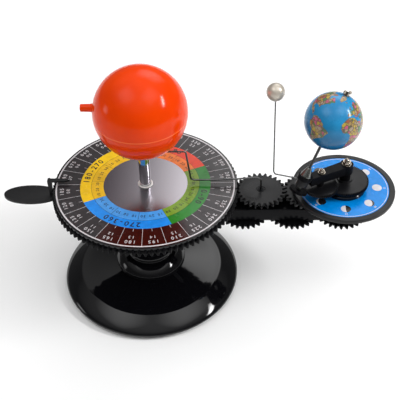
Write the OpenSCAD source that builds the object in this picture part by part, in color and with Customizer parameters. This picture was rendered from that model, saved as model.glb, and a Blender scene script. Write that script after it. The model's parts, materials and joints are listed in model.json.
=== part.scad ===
// Tellurion: sun, earth and moon on a hand-turned geared arm. Lengths are in millimetres.
// X runs along the arm from the column toward the earth, Z is up, the base stands on Z = 0.

/* [Base] */
// Radius of the round foot at its widest
base_r = 105; // [96:1:115]
// Height of the foot's widest line
base_waist = 8; // [6:0.5:10]
// Height of the rounded rim
rim_h = 22; // [19:0.5:26]
// Width of the rounded rim from its crest to its outside
rim_w = 13; // [10:0.5:16]
// Radius of the valley inside the rim
valley_r = 79; // [72:1:82]
// Height of the valley
valley_h = 17; // [15:0.5:18]
// Radius of the flange that carries the column
flange_r = 41; // [37:1:46]
// Height of the flange's outer edge
flange_edge_h = 35; // [33:0.5:38]
// Height of the flange's straight side
flange_side = 5; // [3:0.5:7]
// Radius of the flange's flat top
flange_top_r = 32; // [30:0.5:35]
// Height of the flange's top
flange_h = 44; // [40:0.5:48]
// Wall of the moulded base
base_wall = 4; // [3:0.5:6]
// Thickness of the felt disc under the base
felt_t = 1.5; // [1:0.5:2.5]
// Outer radius of the ballast ring inside the base
ballast_r = 68; // [60:1:72]
// Thickness of the ballast ring
ballast_t = 8; // [5:1:9]

/* [Column] */
// Radius of the column
column_r = 25; // [20:1:30]
// Radius of the column's neck, which the arm turns on
neck_r = 10; // [8:0.5:12]
// Radius of the bolt that holds the column from below
bolt_r = 4; // [3:0.5:5]

/* [Gears] */
// Module of the coarse gears: pitch diameter for each tooth
coarse_m = 2.05; // [1.9:0.01:2.2]
// Teeth on each of the five equal gears under the arm
equal_n = 27; // [25:1:29]
// Teeth on the fixed dial gear
dial_n = 100; // [96:1:104]
// Teeth on the first gear beside the dial
first_n = 26; // [24:1:28]
// Teeth on the drive pinion under the phase disc
pinion_n = 10; // [10:1:14]
// Module of the fine gears
fine_m = 0.6; // [0.55:0.01:0.65]
// Teeth on the large fine gear
large_n = 87; // [80:1:90]
// Teeth on the relay pinion
relay_pinion_n = 20; // [16:1:24]
// Teeth on the relay gear
relay_n = 64; // [60:1:68]
// Teeth on the tilted gear of the earth rod
earth_gear_n = 32; // [28:1:36]
// Thickness of the equal gears
equal_t = 4; // [3:0.5:5]
// Thickness of the coarse gears above the arm
upper_t = 4.5; // [3.5:0.5:5]
// Height of the dial gear's underside
dial_gear_z = 135.7; // [134.5:0.1:137]
// Width that each coarse gear tooth loses for backlash
coarse_play = 0.16; // [0.1:0.01:0.3]
// Width that each fine gear tooth loses for backlash
fine_play = 0.1; // [0.06:0.01:0.14]

/* [Dial] */
// Radius of the dial plate
dial_r = 102.5; // [98:0.5:106]
// Height of the dial's printed face
dial_top = 146.3; // [145.5:0.1:148]
// Thickness of the dial plate
dial_t = 2.7; // [2:0.1:3]
// Width of the dial plate's rim around the printed sheet
dial_rim = 2.1; // [1.5:0.1:3]
// Thickness of a printed sheet
label_t = 0.3; // [0.2:0.05:0.5]
// Radius of the white washer at the dial's centre
washer_r = 8.5; // [7.5:0.1:10]
// Thickness of the white washer
washer_t = 1; // [0.6:0.1:2]

/* [Sun] */
// Diameter of the sun ball
sun_d = 100; // [90:1:110]
// Height of the sun's centre
sun_z = 244; // [238:1:250]
// Wall of the hollow balls
ball_wall = 1.8; // [1.2:0.1:3]
// Radius of the sun rod
sun_rod_r = 6.2; // [5:0.1:7]
// Radius of the sun's filling stub
stub_r = 4; // [3:0.1:5]
// Length of the stub beyond the ball
stub_l = 12; // [8:0.5:15]
// Drop of the sun's seam below its centre
seam_drop = 3; // [0:0.5:5]
// Rise of the stub above the sun's centre
stub_rise = 5.5; // [3:0.5:8]
// Radius of the sunray wire
ray_r = 1; // [0.8:0.1:1.3]

/* [Arm] */
// Half width of the arm
arm_half_w = 20; // [17:0.5:22]
// Height of the arm's underside
arm_z = 108.8; // [108.5:0.1:110]
// Height of the arm's side
arm_h = 16.8; // [15:0.1:17.5]
// Wall of the arm
arm_wall = 2.5; // [2:0.1:3.5]
// Reach of the arm past the column on the handle's side
arm_back = 100; // [94:1:103]
// Where the wider rear casing of the arm ends
casing_end = 117; // [105:1:125]
// How far the rear casing stands out of the arm's side
casing_step = 0.8; // [0.4:0.1:1.2]
// Length of the oval handle
handle_l = 63; // [54:1:70]
// Width of the oval handle
handle_w = 29; // [24:1:34]
// Thickness of the handle
handle_t = 4.2; // [3.5:0.1:5]
// Height of the handle's top
handle_z = 131.5; // [131:0.1:133]
// Length of the pointer's finger over the dial
finger_l = 20; // [16:1:26]
// Width of the pointer's finger
finger_w = 4.6; // [3.6:0.2:7]
// Height of the pointer's top
finger_z = 152.2; // [151:0.1:155]

/* [Phase disc] */
// Radius of the phase disc
phase_r = 57; // [53:0.5:60]
// Height of the phase disc's rim
phase_top = 143; // [142:0.1:144.5]
// Thickness of the phase disc's rim
phase_t = 4.6; // [4:0.1:5]
// Radius of the printed sheet on the phase disc
phase_label_r = 50.4; // [46:0.1:52]
// Radius of the raised seat under the large fine gear
seat_r = 24; // [20:0.5:25.5]
// Height of the raised seat
seat_h = 4; // [3:0.1:5]

/* [Earth carriage] */
// Tilt of the earth's axis from upright
tilt = 23.5; // [20:0.5:26]
// Direction of the bridge from the spindle, seen from above
bridge_turn = 206.9; // [190:0.1:220]
// Radius of the carriage spindle
spindle_r = 3; // [2.5:0.1:3.5]
// Height of the large fine gear's top
large_top = 153.8; // [153:0.1:154.5]
// Thickness of the large fine gear
large_t = 4.3; // [3:0.1:5]
// Thickness of the relay gear
relay_t = 3.2; // [2.4:0.1:3.6]
// Height of the bridge's underside
bridge_z = 164.5; // [163.5:0.1:166]
// Height of the bridge's side
bridge_h = 10.5; // [9:0.1:12]
// Half width of the bridge
bridge_half_w = 5; // [4:0.1:6]
// Radius of the earth rod
rod_r = 1.5; // [1.2:0.1:1.8]
// Distance along the tilted axis from the collar's middle to the earth's centre
earth_s = 77.2; // [70:0.1:85]
// Diameter of the earth ball
earth_d = 60; // [54:1:66]
// Diameter of the moon ball
moon_d = 19.5; // [16:0.5:22]
// Radius of the moon's circle about the earth's axis
moon_orbit = 66.4; // [60:0.1:72]
// Direction of the moon about the tilted axis
moon_turn = -48.5; // [-60:0.5:60]
// Radius of the moon wire
moon_wire_r = 0.75; // [0.6:0.05:1]
// Radius of the moon's collar
collar_r = 6.5; // [5.5:0.1:7]

/* [Fits] */
// Radial running clearance of a shaft in its bore
fit = 0.05; // [0.02:0.01:0.1]
// Radial clearance of a fixed seat
snug = 0.02; // [0.01:0.01:0.04]
// Axial clearance between turning pieces
gap = 0.3; // [0.2:0.05:0.5]

/* [Hidden] */
$fn = 96;
coarse_pa = 25;
fine_pa = 20;
coarse_add = 0.9;
fine_add = 0.8;

// Places that follow from the gears
equal_step = coarse_m * equal_n;
arm_l = 4 * equal_step;
equal_z = arm_z - 1 - equal_t;
first_x = coarse_m * (dial_n + first_n) / 2;
second_n = round((arm_l - first_x) / coarse_m - (first_n + pinion_n) / 2);
second_x = first_x + coarse_m * (first_n + second_n) / 2;
pinion_x = second_x + coarse_m * (second_n + pinion_n) / 2;
arm_top = arm_z + arm_h;
first_top = dial_gear_z + 2.8;
second_top = phase_top - phase_t - 1.1;
large_z = large_top - large_t;
relay_x = fine_m * (large_n + relay_pinion_n) / 2;
relay_z = large_top + 0.9;
relay_mid = relay_z + relay_t * 0.65;
relay_cone = atan(sin(tilt) / (earth_gear_n / relay_n + cos(tilt)));
apex_z = relay_mid + fine_m * relay_n / 2 / tan(relay_cone);
bridge_top = bridge_z + bridge_h;
collar_z = bridge_top - 4.4;
collar_x = relay_x + (apex_z - collar_z) * tan(tilt);
apex_s = (apex_z - collar_z) / cos(tilt);
earth_gear_s = apex_s - fine_m * earth_gear_n / 2 / tan(tilt - relay_cone);
bridge_end = collar_x - 8.3;
dial_tip_r = coarse_m * (dial_n / 2 + coarse_add);
dial_hollow_r = coarse_m * dial_n / 2 - 14.5;
label_r = dial_r - dial_rim;
pillar_r = arm_half_w - 2.2;
ray_z = sun_z - sun_d / 2 - 2;
ray_drop_x = sun_d / 2 - 4;

// Angles at which the gears mesh at rest
function partner(dir, turn1, n1, n2) = dir + 180 - 180 / n2 + (dir - turn1) * n1 / n2;
equal_turn1 = partner(0, 0, equal_n, equal_n);
equal_turn2 = partner(0, equal_turn1, equal_n, equal_n);
equal_turn3 = partner(0, equal_turn2, equal_n, equal_n);
equal_turn4 = partner(0, equal_turn3, equal_n, equal_n);
first_turn = partner(0, 0, dial_n, first_n);
second_turn = partner(0, first_turn, first_n, second_n);
pinion_turn = partner(0, second_turn, second_n, pinion_n);
relay_pinion_turn = partner(0, 0, large_n, relay_pinion_n);
earth_gear_turn = partner(0, 0, relay_n, earth_gear_n);

// Involute gear outline: half the tooth's angle at radius r, then the points around it
function inv(a) = tan(a) * 180 / PI - a;
function half_tooth(r, n, m, pa, play) =
    let (base = n * m / 2 * cos(pa), a = r > base ? acos(base / r) : 0)
    90 / n - play / (n * m) * 180 / PI + inv(pa) - inv(a);
function polar(r, a) = [r * cos(a), r * sin(a)];
function tooth(c, n, m, pa, play, add, steps) =
    let (root = m * (n / 2 - 1.25), tip = m * (n / 2 + add),
        low = max(root, n * m / 2 * cos(pa)))
    concat(
        [polar(root, c - half_tooth(low, n, m, pa, play))],
        [for (i = [0:steps]) let (r = low + (tip - low) * i / steps)
            polar(r, c - half_tooth(r, n, m, pa, play))],
        [for (i = [steps:-1:0]) let (r = low + (tip - low) * i / steps)
            polar(r, c + half_tooth(r, n, m, pa, play))],
        [polar(root, c + half_tooth(low, n, m, pa, play))]);
function clean(p) = [for (i = [0:len(p) - 1])
    if (norm(p[i] - p[(i + 1) % len(p)]) > 0.001) p[i]];
function gear_points(n, m, pa, play, add, steps) =
    clean([for (k = [0:n - 1]) each tooth(k * 360 / n, n, m, pa, play, add, steps)]);

module coarse_gear(n, t, turn) {
    rotate([0, 0, turn])
        linear_extrude(t)
            polygon(gear_points(n, coarse_m, coarse_pa, coarse_play, coarse_add, 3));
}

module fine_gear(n, t, turn) {
    rotate([0, 0, turn])
        linear_extrude(t)
            polygon(gear_points(n, fine_m, fine_pa, fine_play, fine_add, 2));
}

// Bevel gear whose teeth point at an apex above it, from height low to high about its pitch plane
module bevel_gear(n, low, high, apex, turn) {
    rotate([0, 0, turn])
        translate([0, 0, low])
            linear_extrude(high - low, scale = (apex - high) / (apex - low))
                scale((apex - low) / apex)
                    polygon(gear_points(n, fine_m, fine_pa, fine_play, fine_add, 2));
}

module ring(inner, outer, t) {
    difference() {
        cylinder(r = outer, h = t);
        translate([0, 0, -1])
            cylinder(r = inner, h = t + 2);
    }
}

// Hexagon nut with a washer face below and a round bore
module hex_nut(across, t, bore) {
    difference() {
        intersection() {
            cylinder(r = across / 2 / cos(30), h = t, $fn = 6);
            rotate_extrude()
                polygon([[0, 0], [across * 0.55, 0], [across * 0.58, t * 0.15],
                    [across * 0.58, t * 0.85], [across * 0.5, t], [0, t]]);
        }
        translate([0, 0, -1])
            cylinder(r = bore, h = t + 2);
    }
}

// Round wire in the XZ plane: straight runs with a rounded bend at each inner point
function heading(a, b) = atan2(b[1] - a[1], b[0] - a[0]);
function signed(a) = a > 180 ? a - 360 : a < -180 ? a + 360 : a;
module bent_wire(p, r, bend) {
    last = len(p) - 2;
    rotate([90, 0, 0])
        for (i = [0:last]) {
            a = heading(p[i], p[i + 1]);
            run = norm(p[i + 1] - p[i]);
            before = i > 0 ? signed(a - heading(p[i - 1], p[i])) : 0;
            after = i < last ? signed(heading(p[i + 1], p[i + 2]) - a) : 0;
            back = bend * tan(abs(before) / 2);
            front = bend * tan(abs(after) / 2);
            translate([p[i][0], p[i][1], 0])
                rotate([0, 0, a]) {
                    translate([back, 0, 0])
                        rotate([0, 90, 0])
                            cylinder(r = r, h = run - back - front, $fn = 24);
                    if (after != 0)
                        translate([run - front, after > 0 ? bend : -bend, 0])
                            rotate([0, 0, (after > 0 ? -90 : 90 + after) - 3])
                                rotate_extrude(angle = abs(after) + 6)
                                    translate([bend, 0])
                                        circle(r = r + 0.06, $fn = 24);
                }
        }
}

module rod_between(a, b, r) {
    d = b - a;
    flat = norm([d[0], d[1]]);
    translate(a)
        rotate([0, atan2(flat, d[2]), atan2(d[1], d[0])])
            cylinder(r = r, h = norm(d), $fn = 24);
}

module at_arm_end() {
    translate([arm_l, 0, 0])
        children();
}

// Frame of the bridge: X runs from the spindle along the bridge
module on_bridge() {
    at_arm_end()
        rotate([0, 0, bridge_turn])
            children();
}

// Frame of the tilted axis: Z runs up the earth rod from the collar's middle
module on_tilt(s) {
    on_bridge()
        translate([collar_x, 0, collar_z])
            rotate([0, -tilt, 0])
                translate([0, 0, s])
                    children();
}

// Base: rounded rim, shallow valley, cone and flange, hollow below
crest_r = base_r - rim_w;
function rim_points() = [for (a = [-18:9:126])
    [crest_r + rim_w * cos(a), base_waist + (rim_h - base_waist) * sin(a)]];
function cone_points() = [for (i = [0:8]) let (u = i / 8)
    [valley_r + (flange_r - valley_r) * u,
        valley_h + (flange_edge_h - flange_side - valley_h) * (0.25 * u + 0.75 * u * u)]];
function rim_inner() = [for (a = [0:18:108])
    [crest_r + (rim_w - base_wall) * cos(a),
        base_waist + (rim_h - base_waist - base_wall) * sin(a)]];

module base_shell() {
    color("black")
        difference() {
            rotate_extrude()
                polygon(concat([[neck_r, felt_t + 8], [crest_r + rim_w * 0.85, felt_t]],
                    rim_points(), cone_points(),
                    [[flange_r, flange_edge_h - 0.8], [flange_r - 0.8, flange_edge_h],
                    [(flange_r + flange_top_r) / 2 + 0.6, (flange_edge_h + flange_h) / 2 + 0.8],
                    [flange_top_r + 0.8, flange_h - 0.5], [flange_top_r - 0.4, flange_h],
                    [neck_r, flange_h]]));
            rotate_extrude()
                polygon(concat([[ballast_r + snug, -1], [crest_r + rim_w - base_wall - 1, -1]],
                    rim_inner(),
                    [[valley_r, valley_h - base_wall], [ballast_r + snug, valley_h - base_wall]]));
            translate([0, 0, -1])
                cylinder(r = ballast_r + snug, h = felt_t + 3 + ballast_t);
            translate([0, 0, flange_h - 6])
                cylinder(r = column_r - 5 + snug, h = 10);
        }
}

module felt_disc() {
    color("dimgray")
        cylinder(r = crest_r + rim_w * 0.8, h = felt_t);
}

// Ballast ring, counterbored from below for the bolt's head
module ballast_ring() {
    z = felt_t + 2;
    color("gray")
        rotate_extrude()
            polygon([[bolt_r + snug, z + ballast_t - 3], [bolt_r * 2.4, z + ballast_t - 3],
                [bolt_r * 2.4, z], [ballast_r, z], [ballast_r, z + ballast_t],
                [bolt_r + snug, z + ballast_t]]);
}

// Column: foot spigot in the flange, body, shoulder and the neck that the arm turns on
module column() {
    foot = flange_h - 6;
    shoulder = equal_z - 1;
    color("black")
        difference() {
            rotate_extrude()
                polygon([[0, foot], [column_r - 5, foot], [column_r - 5, flange_h],
                    [column_r + 2, flange_h], [column_r + 1.6, flange_h + 2],
                    [column_r, flange_h + 4], [column_r - 1.5, shoulder - 10],
                    [column_r - 1, shoulder - 4], [column_r, shoulder - 2],
                    [column_r, shoulder], [neck_r + 4, shoulder], [neck_r + 4, equal_z],
                    [neck_r, equal_z], [neck_r, dial_top - label_t - dial_t],
                    [0, dial_top - label_t - dial_t]]);
            translate([0, 0, foot - 1])
                cylinder(r = bolt_r + snug, h = 22);
            translate([0, 0, dial_top - label_t - dial_t - 24])
                cylinder(r = sun_rod_r - 2 + snug, h = 30);
        }
}

module column_bolt() {
    seat = felt_t + 2 + ballast_t - 3;
    color("silver") {
        translate([0, 0, felt_t + 2.5])
            cylinder(r = bolt_r * 1.8, h = seat - felt_t - 2.5, $fn = 6);
        translate([0, 0, seat - 1])
            cylinder(r = bolt_r, h = flange_h + 12 - seat);
    }
}

module fixed_gear() {
    color("black")
        translate([0, 0, equal_z])
            difference() {
                coarse_gear(equal_n, equal_t, 0);
                translate([0, 0, -1])
                    cylinder(r = neck_r + snug, h = equal_t + 2);
            }
}

// Toothed wheel under the dial: web, hub and ribs open below
module dial_gear() {
    top = dial_top - label_t - dial_t;
    web = 3.5;
    color("black") {
        difference() {
            translate([0, 0, dial_gear_z])
                coarse_gear(dial_n, top - dial_gear_z, 0);
            translate([0, 0, dial_gear_z - 1])
                ring(neck_r + 8, dial_hollow_r, top - web - dial_gear_z + 1);
            translate([0, 0, dial_gear_z - 1])
                cylinder(r = neck_r + snug, h = top - dial_gear_z + 2);
        }
        translate([0, 0, arm_top + 2])
            ring(neck_r + snug, neck_r + 8, dial_gear_z - arm_top - 1.9);
        for (a = [0:45:315])
            rotate([0, 0, a + 22.5])
                translate([neck_r + 7, -1.5, dial_gear_z + 1])
                    cube([dial_hollow_r - neck_r - 6, 3, top - web - dial_gear_z]);
    }
}

module dial_plate() {
    z = dial_top - label_t - dial_t;
    color("black")
        difference() {
            rotate_extrude()
                polygon([[sun_rod_r + snug, z], [dial_r - 0.6, z], [dial_r, z + 0.6],
                    [dial_r, dial_top - 0.5], [dial_r - 0.5, dial_top],
                    [label_r + snug, dial_top], [label_r + snug, dial_top - label_t],
                    [sun_rod_r + snug, dial_top - label_t]]);
        }
}

module dial_label() {
    color("lightgray")
        translate([0, 0, dial_top - label_t])
            ring(sun_rod_r + snug, label_r, label_t);
}

module dial_washer() {
    color("white")
        translate([0, 0, dial_top])
            rotate_extrude()
                polygon([[sun_rod_r + snug, 0], [washer_r, 0], [washer_r, washer_t * 0.6],
                    [washer_r - washer_t * 0.4, washer_t], [sun_rod_r + snug, washer_t]]);
}

module sun_rod() {
    foot = dial_top - label_t - dial_t;
    color("silver")
        rotate_extrude()
            polygon([[0, foot - 20], [sun_rod_r - 3, foot - 20], [sun_rod_r - 2, foot - 19],
                [sun_rod_r - 2, foot], [sun_rod_r, foot],
                [sun_rod_r, sun_z - sun_d / 2 + 17], [sun_rod_r - 1, sun_z - sun_d / 2 + 18],
                [0, sun_z - sun_d / 2 + 18]]);
}

// Hollow moulded ball with a seam bead, a filling stub and a socket for the rod
module sun_ball() {
    r = sun_d / 2;
    seam_r = sqrt(r * r - seam_drop * seam_drop) + 0.15;
    color("orangered")
        translate([0, 0, sun_z])
            difference() {
                union() {
                    sphere(r = r);
                    translate([0, 0, -seam_drop])
                        rotate_extrude()
                            polygon([[r - 1, -0.5], [seam_r, -0.25], [seam_r, 0.25],
                                [r - 1, 0.5]]);
                    translate([0, 0, stub_rise])
                        rotate([0, -90, 0])
                            rotate_extrude()
                                polygon([[0, r - 3], [stub_r + 1.2, r - 3], [stub_r, r + 1.5],
                                    [stub_r, r + stub_l - 0.8], [stub_r - 0.8, r + stub_l],
                                    [0, r + stub_l]]);
                }
                difference() {
                    sphere(r = r - ball_wall);
                    translate([0, 0, -r])
                        cylinder(r = sun_rod_r + 3, h = 20);
                }
                translate([0, 0, -r - 1])
                    cylinder(r = sun_rod_r + snug, h = 19 + snug);
            }
}

// Arm: a channel open below, with a wider rear casing and a boss for each shaft
module arm_beam() {
    nose = arm_l + arm_half_w;
    color("black")
        difference() {
            union() {
                difference() {
                    arm_outline(arm_half_w, 0, nose, arm_h);
                    translate([0, 0, -0.01])
                        arm_outline(arm_half_w - arm_wall, arm_wall, nose - arm_wall,
                            arm_h - arm_wall);
                }
                difference() {
                    translate([-arm_back, -arm_half_w - casing_step, arm_z])
                        cube([arm_back + casing_end, 2 * (arm_half_w + casing_step), arm_h]);
                    translate([-arm_back - 1, -arm_half_w + arm_wall, arm_z - 1])
                        cube([arm_back + casing_end + 2, 2 * (arm_half_w - arm_wall),
                            arm_h - arm_wall + 1]);
                }
                translate([-arm_back, -arm_half_w, arm_z])
                    cube([arm_wall, 2 * arm_half_w, arm_h]);
                translate([0, 0, arm_z + 2])
                    cylinder(r = neck_r + 6, h = arm_h - 2);
                for (x = [equal_step, 2 * equal_step, 3 * equal_step, first_x, second_x, arm_l])
                    translate([x, 0, arm_z + 2])
                        cylinder(r = 7, h = arm_h - 2);
            }
            translate([0, 0, arm_z - 1])
                cylinder(r = neck_r + 3 + snug, h = 30);
            for (x = [equal_step, 2 * equal_step, 3 * equal_step])
                translate([x, 0, arm_z - 1])
                    cylinder(r = spindle_r + snug, h = arm_h - 3);
            for (x = [first_x, second_x])
                translate([x, 0, arm_z + 3])
                    cylinder(r = spindle_r + snug, h = arm_h);
            at_arm_end()
                translate([0, 0, arm_z - 1])
                    cylinder(r = spindle_r + 2 + snug, h = 30);
            disc_pillar_places()
                translate([0, 0, arm_top - 6])
                    cylinder(r = 2 + snug, h = 10);
        }
}

// Long outline with a round nose, drawn from height arm_z
module arm_outline(half, start, nose, t) {
    translate([0, 0, arm_z])
        linear_extrude(t)
            union() {
                translate([-arm_back + start, -half])
                    square([nose - half + arm_back - start, 2 * half]);
                translate([nose - half, 0])
                    circle(r = half);
            }
}

module arm_cover() {
    nose = arm_l + arm_half_w - arm_wall - snug;
    color("black")
        difference() {
            arm_outline(arm_half_w - arm_wall - snug, arm_wall + snug, nose, 2);
            translate([0, 0, arm_z - 1])
                cylinder(r = neck_r + 3 + snug, h = 30);
            for (x = [equal_step, 2 * equal_step, 3 * equal_step])
                translate([x, 0, arm_z - 1])
                    cylinder(r = spindle_r + snug, h = 30);
            at_arm_end()
                translate([0, 0, arm_z - 1])
                    cylinder(r = spindle_r + 2 + snug, h = 30);
        }
}

module arm_bush() {
    color("ivory")
        difference() {
            union() {
                translate([0, 0, equal_z + equal_t + gap])
                    cylinder(r = neck_r + 3, h = arm_top + 1.5 - equal_z - equal_t - gap);
                translate([0, 0, arm_top])
                    cylinder(r = neck_r + 6, h = 1.5);
            }
            translate([0, 0, equal_z])
                cylinder(r = neck_r + fit, h = 40);
        }
}

// Handle: an oval paddle on a foot screwed to the arm's end
module handle() {
    x = -arm_back - handle_l + 1;
    color("black") {
        translate([0, 0, handle_z - handle_t])
            linear_extrude(handle_t)
                union() {
                    translate([x + handle_l / 2, 0])
                        scale([handle_l / handle_w, 1])
                            circle(d = handle_w);
                    translate([-arm_back - 14, -8])
                        square([24, 16]);
                }
        translate([-arm_back + 2, -8, arm_top])
            cube([8, 16, handle_z - handle_t - arm_top]);
    }
}

// Pointer: a post outside the dial with a tapered finger over its edge
module pointer() {
    x = -max(dial_tip_r, dial_r) - 1.2;
    color("black") {
        translate([x, 0, 0])
            rotate([90, 0, 0])
                translate([0, 0, -finger_w / 2])
                    linear_extrude(finger_w)
                        polygon([[-3.6, handle_z], [-1, handle_z], [0, finger_z - 8],
                            [0.6, finger_z - 3], [finger_l - 5, finger_z - 2.4],
                            [finger_l - 5, finger_z - 0.6], [-0.6, finger_z - 0.4],
                            [-1.6, finger_z + 0.3], [-3.2, finger_z + 0.3], [-4.3, finger_z - 0.6],
                            [-4.6, finger_z - 2]]);
        translate([x + finger_l - 5, 0, finger_z - 2.4])
            linear_extrude(1.8)
                polygon([[0, -finger_w / 2], [6, 0], [0, finger_w / 2]]);
    }
}

// Pins that carry the three idlers below the arm, each with a head under its gear
module idler_pins() {
    color("silver")
        for (i = [1:3])
            translate([i * equal_step, 0, 0]) {
                translate([0, 0, equal_z - gap])
                    cylinder(r = spindle_r, h = arm_top - 5 - equal_z + gap);
                translate([0, 0, equal_z - gap - 1.5])
                    cylinder(r = spindle_r + 2.5, h = 1.5);
            }
}

module upper_axle(x, top) {
    color("silver")
        translate([x, 0, 0]) {
            translate([0, 0, arm_z + 3])
                cylinder(r = spindle_r, h = top + 0.5 - arm_z - 3);
            translate([0, 0, arm_top])
                cylinder(r = spindle_r + 2, h = top - upper_t - gap - arm_top);
        }
}

// The first axle is drilled to take the end of the sunray wire
module first_axle() {
    difference() {
        upper_axle(first_x, first_top);
        translate([first_x, 0, first_top - 10])
            cylinder(r = ray_r + snug, h = 20);
    }
}

module second_axle() {
    upper_axle(second_x, second_top);
}

module disc_pillar_places() {
    for (a = [-70, 0, 70])
        at_arm_end()
            rotate([0, 0, a])
                translate([pillar_r, 0, 0])
                    children();
}

module disc_pillars() {
    color("black")
        disc_pillar_places() {
            translate([0, 0, arm_top - 5])
                cylinder(r = 2, h = phase_top - phase_t - arm_top + 7);
            translate([0, 0, arm_top])
                cylinder(r = 2.8, h = phase_top - phase_t - arm_top);
        }
}

// Phase disc: a flat plate with a raised rim around the printed sheet
module phase_disc() {
    z = phase_top - phase_t;
    color("black")
        at_arm_end()
            difference() {
                rotate_extrude()
                    polygon([[spindle_r + 4, z], [phase_r - 1, z], [phase_r, z + 1],
                        [phase_r, phase_top - 0.8], [phase_r - 0.8, phase_top],
                        [phase_label_r + 0.6, phase_top],
                        [phase_label_r + snug, phase_top - 0.6],
                        [phase_label_r + snug, phase_top - 0.6 - label_t],
                        [spindle_r + 4, phase_top - 0.6 - label_t]]);
                for (a = [-70, 0, 70])
                    rotate([0, 0, a])
                        translate([pillar_r, 0, z - 1])
                            cylinder(r = 2 + snug, h = 3 + snug);
            }
}

module phase_label() {
    color("deepskyblue")
        at_arm_end()
            translate([0, 0, phase_top - 0.6 - label_t])
                ring(seat_r + snug, phase_label_r, label_t);
}

module phase_seat() {
    z = phase_top - 0.6 - label_t;
    color("black")
        at_arm_end()
            rotate_extrude()
                polygon([[spindle_r + 4, z], [seat_r, z], [seat_r, z + seat_h - 0.8],
                    [seat_r - 0.8, z + seat_h], [seat_r - 3, z + seat_h],
                    [seat_r - 3.4, z + seat_h - 1], [spindle_r + 8, z + seat_h - 1],
                    [spindle_r + 8, large_z - gap], [spindle_r + 4, large_z - gap]]);
}

module spindle_bush() {
    color("ivory")
        at_arm_end()
            difference() {
                union() {
                    translate([0, 0, equal_z + equal_t + gap])
                        cylinder(r = spindle_r + 2, h = arm_top + 1 - equal_z - equal_t - gap);
                    translate([0, 0, arm_top])
                        cylinder(r = spindle_r + 4, h = 1);
                }
                translate([0, 0, equal_z])
                    cylinder(r = spindle_r + fit, h = 40);
            }
}

// Wire that points from the sun along the arm and stands in the first axle
module sunray_wire() {
    color("silver")
        bent_wire([[sun_rod_r + 1.5, ray_z], [ray_drop_x, ray_z],
            [ray_drop_x + 4.8, dial_top + 7.2], [ray_drop_x + 8.4, dial_top + 5.5],
            [dial_r - 27.5, dial_top + 5.7], [dial_r + 0.5, dial_top + 7.2],
            [first_x - 4, dial_top + 9.4], [first_x, dial_top + 6], [first_x, first_top - 9]],
            ray_r, 2);
}

module sunray_collar() {
    color("silver")
        difference() {
            union() {
                translate([0, 0, ray_z - 2.4])
                    cylinder(r = sun_rod_r + 1.8, h = 4);
                rod_between([sun_rod_r + 1, 0, ray_z], [sun_rod_r + 3.4, 0, ray_z], ray_r + 0.8);
            }
            translate([0, 0, ray_z - 5])
                cylinder(r = sun_rod_r + fit, h = 10);
            rod_between([sun_rod_r + 1.5, 0, ray_z], [sun_rod_r + 9, 0, ray_z], ray_r + snug);
        }
}

// Equal spoked gear on a pin, with a hub and a thin web
module idler_gear(i, turn) {
    color("black")
        translate([i * equal_step, 0, equal_z])
            difference() {
                coarse_gear(equal_n, equal_t, turn);
                translate([0, 0, -1])
                    cylinder(r = spindle_r + fit, h = equal_t + 2);
                translate([0, 0, -1])
                    ring(8, coarse_m * equal_n / 2 - 6, 2);
            }
}

module idler_gear_1() {
    idler_gear(1, equal_turn1);
}

module idler_gear_2() {
    idler_gear(2, equal_turn2);
}

module idler_gear_3() {
    idler_gear(3, equal_turn3);
}

// Gear above the arm: flat face with a raised ring at its bore
module upper_gear(n, x, top, turn) {
    color("black")
        translate([x, 0, top - upper_t])
            difference() {
                coarse_gear(n, upper_t, turn);
                translate([0, 0, -1])
                    cylinder(r = spindle_r + fit, h = upper_t + 2);
                translate([0, 0, upper_t - 0.4])
                    ring(spindle_r + 1, spindle_r + 2, 1);
            }
}

module first_gear() {
    upper_gear(first_n, first_x, first_top, first_turn);
}

module second_gear() {
    upper_gear(second_n, second_x, second_top, second_turn);
}

// Pinion and sleeve that carry the large fine gear around the spindle
module drive_pinion() {
    low = second_top - upper_t;
    color("black")
        translate([pinion_x, 0, 0])
            difference() {
                union() {
                    translate([0, 0, low])
                        coarse_gear(pinion_n, upper_t, pinion_turn);
                    translate([0, 0, arm_top + 1 + gap])
                        cylinder(r = spindle_r + 3, h = large_top - arm_top - 1 - gap);
                }
                translate([0, 0, arm_top])
                    cylinder(r = spindle_r + fit, h = 40);
            }
}

module large_gear() {
    color("black")
        on_bridge()
            translate([0, 0, large_z])
                difference() {
                    union() {
                        fine_gear(large_n, large_t, 0);
                        cylinder(r = 10.5, h = large_t + 1.6);
                    }
                    translate([0, 0, -1])
                        cylinder(r = spindle_r + 3 + snug, h = large_t + 1);
                    cylinder(r = spindle_r + fit, h = large_t + 3);
                }
}

module carriage_gear() {
    color("black")
        at_arm_end()
            translate([0, 0, equal_z])
                difference() {
                    coarse_gear(equal_n, equal_t, equal_turn4);
                    translate([0, 0, -1])
                        cylinder(r = spindle_r + snug, h = equal_t + 2);
                    translate([0, 0, -1])
                        ring(8, coarse_m * equal_n / 2 - 6, 2);
                }
}

// Spindle from the carriage gear up through arm, sleeve and bridge
module carriage_spindle() {
    color("silver")
        at_arm_end() {
            translate([0, 0, equal_z])
                cylinder(r = spindle_r, h = bridge_top + 4 - equal_z);
            translate([0, 0, equal_z - 2])
                cylinder(r = spindle_r + 2.5, h = 2);
        }
}

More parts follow.
